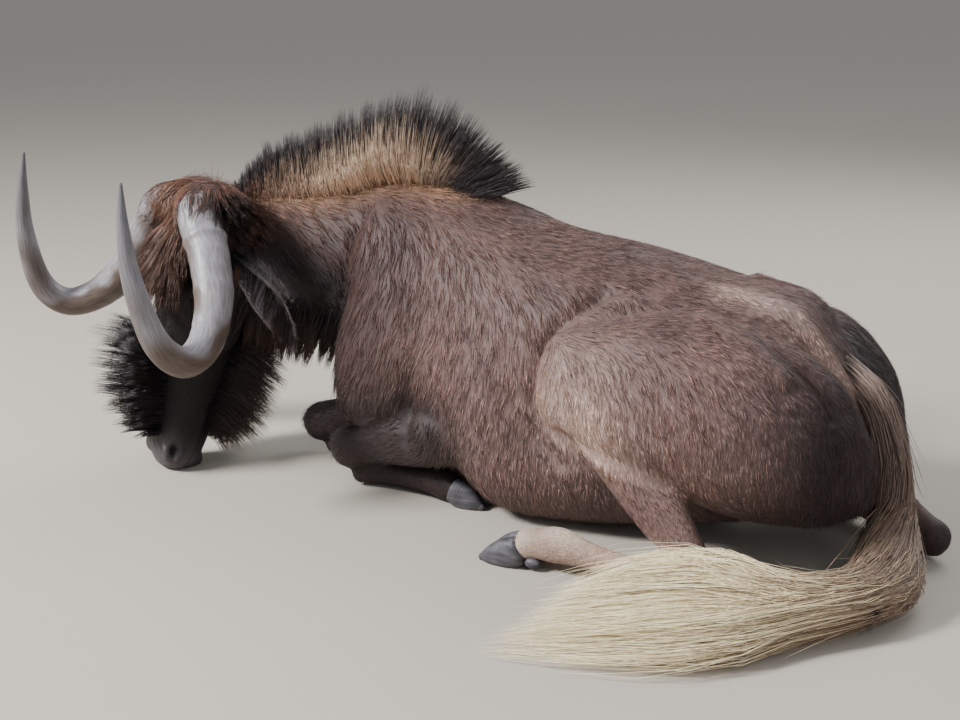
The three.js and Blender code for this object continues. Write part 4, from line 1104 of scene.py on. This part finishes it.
# Each limb's line, how far its own coat reaches from it, the length of that coat in millimetres,
# and how much thinner it covers the hide there.
LIMBS = [([mix(p["stifle"], p["hock"], 0.35), p["hock"]], 62, 17, 0.1) for p in HIND.values()]
LIMBS += [(line, 44, 8, 0.4) for line in HIND_FEET]
LIMBS += [([mix(p["elbow"], p["knee"], 0.35), p["knee"]], 62, 24, 0.2) for p in FORE.values()]
LIMBS += [(line, 44, 9, 0.4) for line in FORE_FEET]
LIMBS_BELOW = 170
EAR_REACH = 34


def limb_share(where, line, reach, strength):
    """1 beside a limb's line, fading to 0 past its reach and above the limbs."""
    return (near_line(where, line, reach) * (where[:, 2] < LIMBS_BELOW) * strength).clip(0, 1)


def head_share(face):
    """1 on the head, 0 on the neck."""
    inside = np.clip(1.6 - np.abs(face[:, 2]) / 100, 0, 1) * ramp(face[:, 0], -150, -120)
    return inside * ramp(face[:, 1], -10, 40) * ramp(face[:, 0], 190, 160)


def lie_of(points, out):
    """The way the coat lies at each root."""
    where, face = body_mm(points), head_mm(points)
    x = where[:, 0]
    top = np.clip(out[:, 2], 0, 1)[:, None] ** 1.5
    drift = np.interp(x, (-850, -500, -200, 0), (-0.35, 0.0, 0.3, 0.1))
    down = np.stack([drift, 0 * x, -1 + 0 * x], 1)
    lie = blend(down, (1.0, 0, -0.1), top)
    share = ramp(x, -900, -980)[:, None]
    lie = blend(lie, (0.75, 0.35, -0.62), share)
    for line, reach, _, _ in LIMBS:
        share = limb_share(where, line, reach, 2.2)[:, None]
        line = np.array(line, float)
        part = np.minimum(along(where, line)[0].astype(int), len(line) - 2)
        lie = blend(lie, unit(line[part + 1] - line[part]), share)
    share = head_share(face)[:, None]
    side = np.sign(face[:, 2:3])
    cheek = ramp(face[:, 0:1], 20, -60)
    face_lie = np.array(DOWN_FACE) - np.array(FACE) * 0.35 * cheek + np.array(LEFT) * side * 0.12
    lie = blend(lie, face_lie, share)
    for side in (1, -1):
        ear = on_side(EAR_LINE, side)
        share = np.clip(1.6 * near_line(face, ear, EAR_REACH) * (face[:, 1] > 100), 0, 1)[:, None]
        tip = HEAD_ROWS @ unit(np.array(ear[-1]) - np.array(ear[0]))
        lie = blend(lie, tip, share)
    return unit(lie - out * (lie * out).sum(1, keepdims=True))


def coat_size(points):
    """The length of the coat in millimetres, and how thickly it covers the hide."""
    where, face = body_mm(points), head_mm(points)
    long = np.interp(where[:, 0], (-1150, -900, -700, -450, -150, 30), (36, 36, 32, 28, 25, 22))
    cover = np.full(len(points), 1.5)
    for line, reach, limb_long, thinner in LIMBS:
        share = limb_share(where, line, reach, 2)
        long = blend(long, limb_long, share)
        cover = cover * (1 - thinner * share)
    share = head_share(face)
    lower = ramp(face[:, 1], 60, 180)
    muzzle = ramp(face[:, 1], 420, 480)
    long = blend(long, 24 - 16 * lower - 5 * muzzle, share)
    cover = blend(cover, 1.4 - 0.5 * lower - 0.25 * muzzle, share)
    for side in (1, -1):
        share = near_line(face, on_side(EAR_LINE, side), EAR_REACH) * (face[:, 1] > 120)
        long = blend(long, 8, share)
        clear = np.linalg.norm(face - np.array(on_side([EYE_AT], side)), axis=1) < EYE_RADIUS + 8
        clear |= near(face, (43, 472, 46 * side), (11, 18, 20)) > 0.5
        cover[clear] = 0
    return long, cover


coat_finish = hair_finish("coat", 0.46, (90, 90, 90), 0.0003, 0.05, 0.12, gloss=0.20)
draw = np.random.default_rng(7)


def tuft_half(long):
    """Half the width of a tuft of a given length, in millimetres."""
    return 0.018 * long + 0.12


long, cover = coat_size(centres)
spot, out = roots(COAT_TUFTS, cover / (long * tuft_half(long)), draw)
long = coat_size(spot)[0] * draw.uniform(0.75, 1.35, len(spot))
half = tuft_half(long) * draw.uniform(0.7, 1.3, len(spot)) * WIDER
lie = lie_of(spot, out)
sway = 0.30 * noise(body_mm(spot), 46, 12) + 0.16 * noise(body_mm(spot), 15, 13)
sway += draw.normal(0, 0.09, len(spot))
lie = unit(lie + np.cross(out, lie) * sway[:, None])
lift = draw.uniform(0.035, 0.115, len(spot))[:, None]
root = spot - out * ROOT_DEPTH
tip = root + (lie + out * lift) * long[:, None] * MM
base = coat_colour(spot)
streak = draw.lognormal(0, 0.27, len(spot))[:, None] * (1 + 0.10 * noise(body_mm(spot), 22, 14))[:, None]
warmth = draw.normal(0.02, 0.04, len(spot)) + 0.05 * noise(body_mm(spot), 160, 15)
streak = streak * (1 + warmth[:, None] * np.array([1, 0.1, -0.9]))
pair = np.stack([base * 1.02 * streak, base * 1.42 * streak], 1)
order = np.argsort(spot[:, 0])
names = ("coat_neck_and_head", "coat_shoulder", "coat_flank", "coat_rump")
spine = np.stack([root, tip], 1)
for name, own in zip(names, np.array_split(order, len(names))):
    tufts(name, spine[own], out[own], half[own] * MM, 0.42, pair[own], (1,), coat_finish)

# The mane: stiff upright hair in one thick row from the poll to behind the withers. The tall
# middle hair is black, the shorter hair beside it is tan, and behind it sweeps back.
MANE_BLACK = (0.020, 0.016, 0.017)
MANE_TAN = (0.460, 0.290, 0.190)
MANE_CREAM = (0.620, 0.470, 0.345)


def clump(ends, every, share, draw):
    """Draws the ends of neighbouring hairs together into locks."""
    centres_at = ends[draw.choice(len(ends), max(len(ends) // every, 1), replace=False)]
    nearest = np.empty(len(ends), int)
    for block in np.array_split(np.arange(len(ends)), 20):
        nearest[block] = ((ends[block, None] - centres_at[None]) ** 2).sum(2).argmin(1)
    return blend(ends, centres_at[nearest], share)


def strands(spot, lean, length, droop, stations, every, share, draw):
    """Spines for long hair: out from each root along its lean, then drooping, in locks."""
    t = np.linspace(0, 1, stations)[None, :, None]
    ends = clump(spot + lean * length[:, None] * MM, every, share, draw)
    reach = (ends - spot)[:, None]
    fall = np.array(droop)[None] * (length * MM)[:, None]
    return spot[:, None] + reach * t + fall[:, None] * t**2.2


def hair_half(low, high, count, draw):
    """Half the width of each long hair, in metres."""
    return draw.uniform(low, high, count) * MM * WIDER


MANE_HAIRS = 13000
MANE_DEPTH, HAIR_DEPTH = 0.003, 0.002
long_finish = hair_finish("long_hair", 0.40, (120, 120, 120), 0.0003, 0.03, 0.12)
draw = np.random.default_rng(11)
crest_line = [row[:3] for row in CREST]
where = body_mm(centres)
s, off = along(where * (1, 1, 0), np.array(crest_line) * (1, 1, 0))
density = np.exp(-((off / 20) ** 2)) * (centre_normals[:, 2] > 0.1) * (where[:, 2] > 430)
density *= ramp(where[:, 0], -680, -770) * (s < 5.9)
spot, out = roots(MANE_HAIRS, density, draw)
where = body_mm(spot)
s, off = along(where * (1, 1, 0), np.array(crest_line) * (1, 1, 0))
middle = smooth(CREST, s)
flow = (smooth(CREST, np.minimum(s + 0.05, 6)) - smooth(CREST, np.maximum(s - 0.05, 0)))[:, :3]
flow = unit(flow * (1, 1, 0))
aside = unit(np.cross(np.array(UP), flow))
lateral = ((where - middle[:, :3]) * aside).sum(1) / 22
outer = np.clip(np.abs(lateral) - 0.36 + draw.normal(0, 0.2, len(spot)), 0, 0.5) / 0.5
wedge = np.interp(s, (1.2, 2.0, 2.8, 3.6, 4.6, 5.4), (0.5, 0.85, 1.3, 0.9, 0.55, 0.4))
length = middle[:, 3] * (1 - outer + 0.46 * outer * wedge) * draw.uniform(0.72, 1.13, len(spot))
length *= 1 + 0.09 * np.sin(s * 9) * np.sin(s * 23)
length += 60 * np.clip(1 - s, 0, 1)
length *= 1 - 0.5 * ramp(s, 5.1, 5.9)
lean_back = np.interp(s, (0, 0.7, 1.3, 2, 3, 4, 5, 6), (2.6, 1.3, 0.6, 0.25, 0.06, -0.02, -0.10, -0.25))
lean = np.array(UP) - flow * lean_back[:, None] + aside * (lateral * (0.22 + 0.34 * outer))[:, None]
lean = unit(lean + draw.normal(0, 1, lean.shape) * np.interp(s, (0.5, 2), (0.11, 0.045))[:, None])
spine = strands(spot - out * MANE_DEPTH, lean, length, (0.03, 0, -0.06), 5, 14, 0.32, draw)
brown = np.array(POLL_RED) * 0.8
t = np.linspace(0, 1, 5)[None, :, None]
toward_poll = ramp(s, 3.7, 5.4)[:, None, None]
behind = ramp(s, 1.9, 0.9)[:, None, None]
side_hair = blend(MANE_TAN, MANE_CREAM, t)
side_hair = blend(side_hair, brown, toward_poll)
side_hair = blend(side_hair, np.array(MANE_BLACK) * 1.5, behind)
black = np.array(MANE_BLACK) * draw.uniform(0.7, 1.9, (len(spot), 1, 1))
root_tan = np.clip(1 - t / 0.34, 0, 1) * (1 - toward_poll) * (1 - behind)
inner_hair = blend(black, np.array(MANE_TAN) * 0.8, root_tan)
share = np.clip(outer * 1.7, 0, 1)[:, None, None] * np.clip(1.25 - 0.6 * t, 0, 1)
tones = blend(inner_hair, side_hair, share) * draw.lognormal(0, 0.2, (len(spot), 1, 1))
half = hair_half(0.5, 0.95, len(spot), draw)
taper = (1, 0.95, 0.8, 0.5)
for name, own in (("mane_left", lateral < 0), ("mane_right", lateral >= 0)):
    tufts(name, spine[own], aside[own], half[own], 0.8, tones[own], taper, long_finish)

# The long hair of the head: a shaggy reddish cap that hides the foot of the horns and falls
# between them, a stiff black brush on the nose that points forward, a beard and ear fringes.
HORN_LINES = [[(f, a, l * side) for a, f, l, _ in HORN[:5]] for side in (1, -1)]


def clear_of_horns(spine, draw):
    """Lifts the parts of hairs that would run through a horn up to its surface."""
    flat = head_mm(spine.reshape(-1, 3))
    margin = np.repeat(draw.uniform(1, 6, len(spine)), spine.shape[1])
    for line in HORN_LINES:
        place, off = along(flat, line)
        radius = np.interp(place, range(5), [row[3] for row in HORN[:5]]) + margin
        axis = at_line(line, place)
        out = axis + unit(flat - axis) * radius[:, None]
        flat = np.where((off < radius)[:, None], out, flat)
    return (flat @ HEAD_ROWS.T + HEAD_ORIGIN).reshape(spine.shape) * MM + np.array(TAIL_ROOT)


draw = np.random.default_rng(12)
face = head_mm(centres)
front = head_share(face) > 0.2
face_out = centre_normals @ HEAD_ROWS
cap = (np.abs(face[:, 1] - 2) < 62) & (np.abs(face[:, 0] - 8) < 72) & (np.abs(face[:, 2]) < 104)
brow = front & (face[:, 1] < 150) & (np.abs(face[:, 2]) < 62) & (face_out[:, 0] > 0.1)
bridge = front & (np.abs(face[:, 1] - 348) < 98) & (np.abs(face[:, 2]) < 30) & (face_out[:, 0] > 0.3)
jaw = front & (np.abs(face[:, 1] - 318) < 118) & (np.abs(face[:, 2]) < 40) & (face_out[:, 0] < -0.35)
rims = np.zeros(len(centres), bool)
for side in (1, -1):
    place, off = along(face, on_side(EAR_LINE, side))
    rims |= (place > 0.6) & (off < 36) & (off > 0.7 * np.interp(place, range(6), EAR_HALVES))
ahead, down, left = (np.array(v)[None] for v in (FACE, DOWN_FACE, LEFT))
red, black = np.array(POLL_RED), np.array(FACE_BLACK)
for name, count, area, reach, every, share in (
    ("poll_cap", 3200, cap & ~brow, 66, 14, 0.4),
    ("forehead_tuft", 3000, brow, 74, 16, 0.5),
    ("nose_brush", 3200, bridge, 134, 26, 0.62),
    ("beard", 3800, jaw, 118, 22, 0.40),
    ("ear_fringe", 700, rims, 15, 4, 0.3),
):
    spot, out = roots(count, area.astype(float), draw)
    f, a, l = head_mm(spot).T[:, :, None]
    length = reach * draw.uniform(0.75, 1.08, len(spot))
    droop, root_tone, tip_tone = (0, 0, -0.10), black * 1.2, black * 1.4
    if name == "poll_cap":
        lean = left * l / 60 + down * (0.30 + 0.3 * (f > 20)) + ahead * (0.1 + f / 160) + out * 0.25
        dark = ramp(np.abs(l), 34, 94)[:, :, None]
        root_tone = blend(red * 0.9, black * 2, dark)
        tip_tone = blend(red * 1.15, black * 1.6, dark)
    elif name == "forehead_tuft":
        length = length * np.clip(0.75 + (a[:, 0] + 40) / 300, 0.5, 1.2)
        lean = ahead * 0.30 + down * 0.85 + left * l / 60 + out * 0.16
        root_tone, tip_tone = red * 1.1, black * 1.6
    elif name == "nose_brush":
        u = (a - 250) / 196
        length = length * np.clip(1 - ((u[:, 0] - 0.40) / 0.8) ** 2, 0.35, 1)
        length = length * draw.uniform(0.68, 1.1, len(spot))
        lean = ahead + down * (u * 0.5 - 0.46) + left * l / 30 * 0.5
    elif name == "beard":
        u = ramp(a, 200, 436)
        length = length * np.clip(0.55 + 0.6 * np.sin(u[:, 0] * math.pi), 0.4, 1)
        lean = ahead * -0.8 + down * 0.42 + left * l / 40 * 0.42
        droop, tip_tone = (0, 0, -0.18), red * 0.28
    else:
        lean = lie_of(spot, out) + out * 0.5
        root_tone, tip_tone = np.array(EAR_GREY), np.array(EAR_EDGE)
    lean = unit(lean + draw.normal(0, 0.16 if name == "beard" else 0.08, spot.shape))
    spine = strands(spot - out * HAIR_DEPTH, lean, length, droop, 4, every, share, draw)
    spine = clear_of_horns(spine, draw)
    t = np.linspace(0, 1, 4)[None, :, None]
    tones = blend(root_tone, tip_tone, t**1.6) * draw.lognormal(0, 0.3, (len(spot), 1, 1))
    half = hair_half(0.5, 0.95, len(spot), draw)
    tufts(name, spine, out, half, 0.7, tones, (1, 0.9, 0.6), long_finish)

# The throat and chest hair: a long black fringe under the neck, from the jaw to the brisket, and
# the shaggy dark hair between and over the tops of the forelegs.
draw = np.random.default_rng(13)
where = body_mm(centres)
under = [(-1165, -170, 300), (-1100, -120, 250), (-1000, -60, 222), (-930, -30, 190)]
throat = near_line(where, under, 62) * (centre_normals[:, 2] < -0.3) * (where[:, 0] < -905)
throat *= head_mm(centres)[:, 1] < 200
chest = (where[:, 0] < -790) & (where[:, 0] > -965) & (np.abs(where[:, 1]) < 190)
chest &= (where[:, 2] > 70) & (where[:, 2] < 240) & (centre_normals[:, 2] < 0.35)
for name, count, area, low, high, tone in (
    ("throat_hair", 3200, throat, 55, 95, np.array(FACE_BLACK) * 1.5),
    ("chest_hair", 3200, chest.astype(float), 36, 70, np.array(SHOULDER) * 0.55),
):
    spot, out = roots(count, area, draw)
    length = draw.uniform(low, high, len(spot))
    lean = unit(np.array([[-0.25, 0, -0.9]]) + out * 0.30 + draw.normal(0, 0.08, spot.shape))
    spine = strands(spot - out * HAIR_DEPTH, lean, length, (0, 0, -0.1), 4, 30, 0.6, draw)
    t = np.linspace(0, 1, 4)[None, :, None]
    tones = (tone + (np.array(POLL_RED) * 0.35 - tone) * t**2) * draw.lognormal(0, 0.3, (len(spot), 1, 1))
    half = hair_half(0.6, 1.1, len(spot), draw)
    tufts(name, spine, out, half, 0.6, tones, (1, 0.9, 0.6), long_finish)

# The tail: a long switch of coarse hair that hangs from the dock, turns on the ground and flows
# forward beside the hock, dark brown at the top and pale straw at the end.
TAIL_TOP = (0.210, 0.148, 0.124)
TAIL_DARK = (0.072, 0.046, 0.041)
TAIL_BROWN = (0.240, 0.158, 0.106)
TAIL_STRAW = (0.930, 0.770, 0.490)
SWITCH = [row[:5] for row in TAIL[:6]] + [
    (118, -250, 44, 52, 36), (50, -345, 38, 50, 32), (-30, -428, 32, 80, 28),
    (-130, -497, 24, 78, 22), (-228, -566, 13, 44, 10), (-304, -612, 7, 12, 5),
]
OVER_HOCK = [row[:5] for row in TAIL[:6]] + [
    (108, -250, 56, 40, 30), (44, -318, 66, 40, 20), (-62, -326, 88, 46, 10),
    (-152, -366, 78, 46, 10), (-222, -408, 56, 34, 8), (-286, -446, 26, 18, 5),
]


def tail_frame(t, rise):
    """The middle of the tail, its width direction and its upper side at any distance along."""
    share = rise * ramp(t, 5, 6.5)
    share = np.stack([share, share, np.clip(share, 0, 1) ** 2, share, share], -1)

    def at(t):
        return blend(smooth(SWITCH, t), smooth(OVER_HOCK, t), share)

    row = at(t)
    ahead = unit((at(np.minimum(t + 0.05, 11)) - at(np.maximum(t - 0.05, 0)))[..., :3])
    turn = ramp(t, 2, 5)[..., None]
    over = unit(blend((1, 0, 0.15), (0, 0, 1.0), turn))
    side = unit(np.cross(ahead, over))
    return row, side, np.cross(side, ahead)


STATIONS = 7
STRAY_SHARE, STRAY_REACH, NEAT_REACH = 0.2, 16, 3
TAIL_LAYERS = (
    ("tail_under", 21, 2900, -0.25, 0.35),
    ("tail_upper", 22, 3000, 0.0, 0.7),
    ("tail_over_hock", 23, 2300, 0.45, 1.05),
)
for name, seed, count, low, high in TAIL_LAYERS:
    draw = np.random.default_rng(seed)
    count = int(count * FEW)
    start = draw.choice(6, count, p=[0.14, 0.16, 0.18, 0.2, 0.18, 0.14]) + draw.uniform(0, 1, count)
    if name == "tail_over_hock":
        start = np.maximum(start, draw.uniform(2.5, 6.2, count))
    end = np.minimum(start + draw.uniform(3.6, 7.2, count), draw.uniform(8.8, 11, count))
    end = np.where(start < 1.2, np.minimum(end, start + draw.uniform(1.2, 3, count)), end)
    angle = draw.uniform(0, 2 * math.pi, count)
    rim = np.sqrt(draw.uniform(0.05, 1, count))
    across, rise = rim * np.cos(angle), np.abs(rim * np.sin(angle))
    rise = -rise if name == "tail_under" else rise
    lift = draw.uniform(low, high, count)
    lock = clump(np.stack([across, rise, start * 0.4, lift], 1), 26, 0.5, draw)
    grow = np.linspace(0, 1, STATIONS)[None, :]
    t = start[:, None] + (end - start)[:, None] * grow
    row, side, over = tail_frame(t, blend(lift[:, None], lock[:, 3:], grow))
    wave = 0.12 * np.sin(t * 2.1 + draw.uniform(0, 6.3, count)[:, None]) * grow
    out_x = blend(across[:, None], lock[:, :1], grow) + wave
    out_y = blend(rise[:, None], lock[:, 1:2], grow) + wave * 0.6
    spine = row[..., :3] + side * (row[..., 3] * out_x)[..., None] + over * (row[..., 4] * out_y)[..., None]
    stray = draw.normal(0, 1, (count, 1, 3))
    reach = np.where(draw.random(count) < STRAY_SHARE, STRAY_REACH, NEAT_REACH)[:, None]
    spine = spine + stray * (grow**2 * reach)[..., None]
    spine[..., 2] = np.maximum(spine[..., 2], 1.5 + 3 * draw.uniform(0, 1, (count, 1)))
    spine = spine * MM + np.array(TAIL_ROOT)
    # The underside layer turns to straw later: its own darker hair, with painted shade under the bend.
    pale = t - 6.1 + draw.normal(0, 0.7, (count, 1)) - 0.5 * (name == "tail_under")
    pale = np.clip(pale / 1.6, 0, 1)[..., None]
    brown = np.clip((t - 1.2 + draw.normal(0, 0.8, (count, 1))) / 4.6, 0, 1)[..., None]
    upper = np.clip(1.5 - t / 2.2 + draw.normal(0, 0.25, (count, 1)), 0, 1)[..., None]
    tones = blend(TAIL_DARK, TAIL_TOP, upper)
    tones = blend(tones, TAIL_BROWN, brown)
    tones = blend(tones, TAIL_STRAW, pale) * draw.lognormal(0, 0.2, (count, 1, 1))
    half = hair_half(0.7, 1.3, count, draw)
    stands = ("tail_tuft",) if name == "tail_under" else ()
    taper = (0.7, 1, 1, 0.95, 0.75, 0.45)
    tufts(name, spine, over, half, 0.7, tones, taper, long_finish, stands)
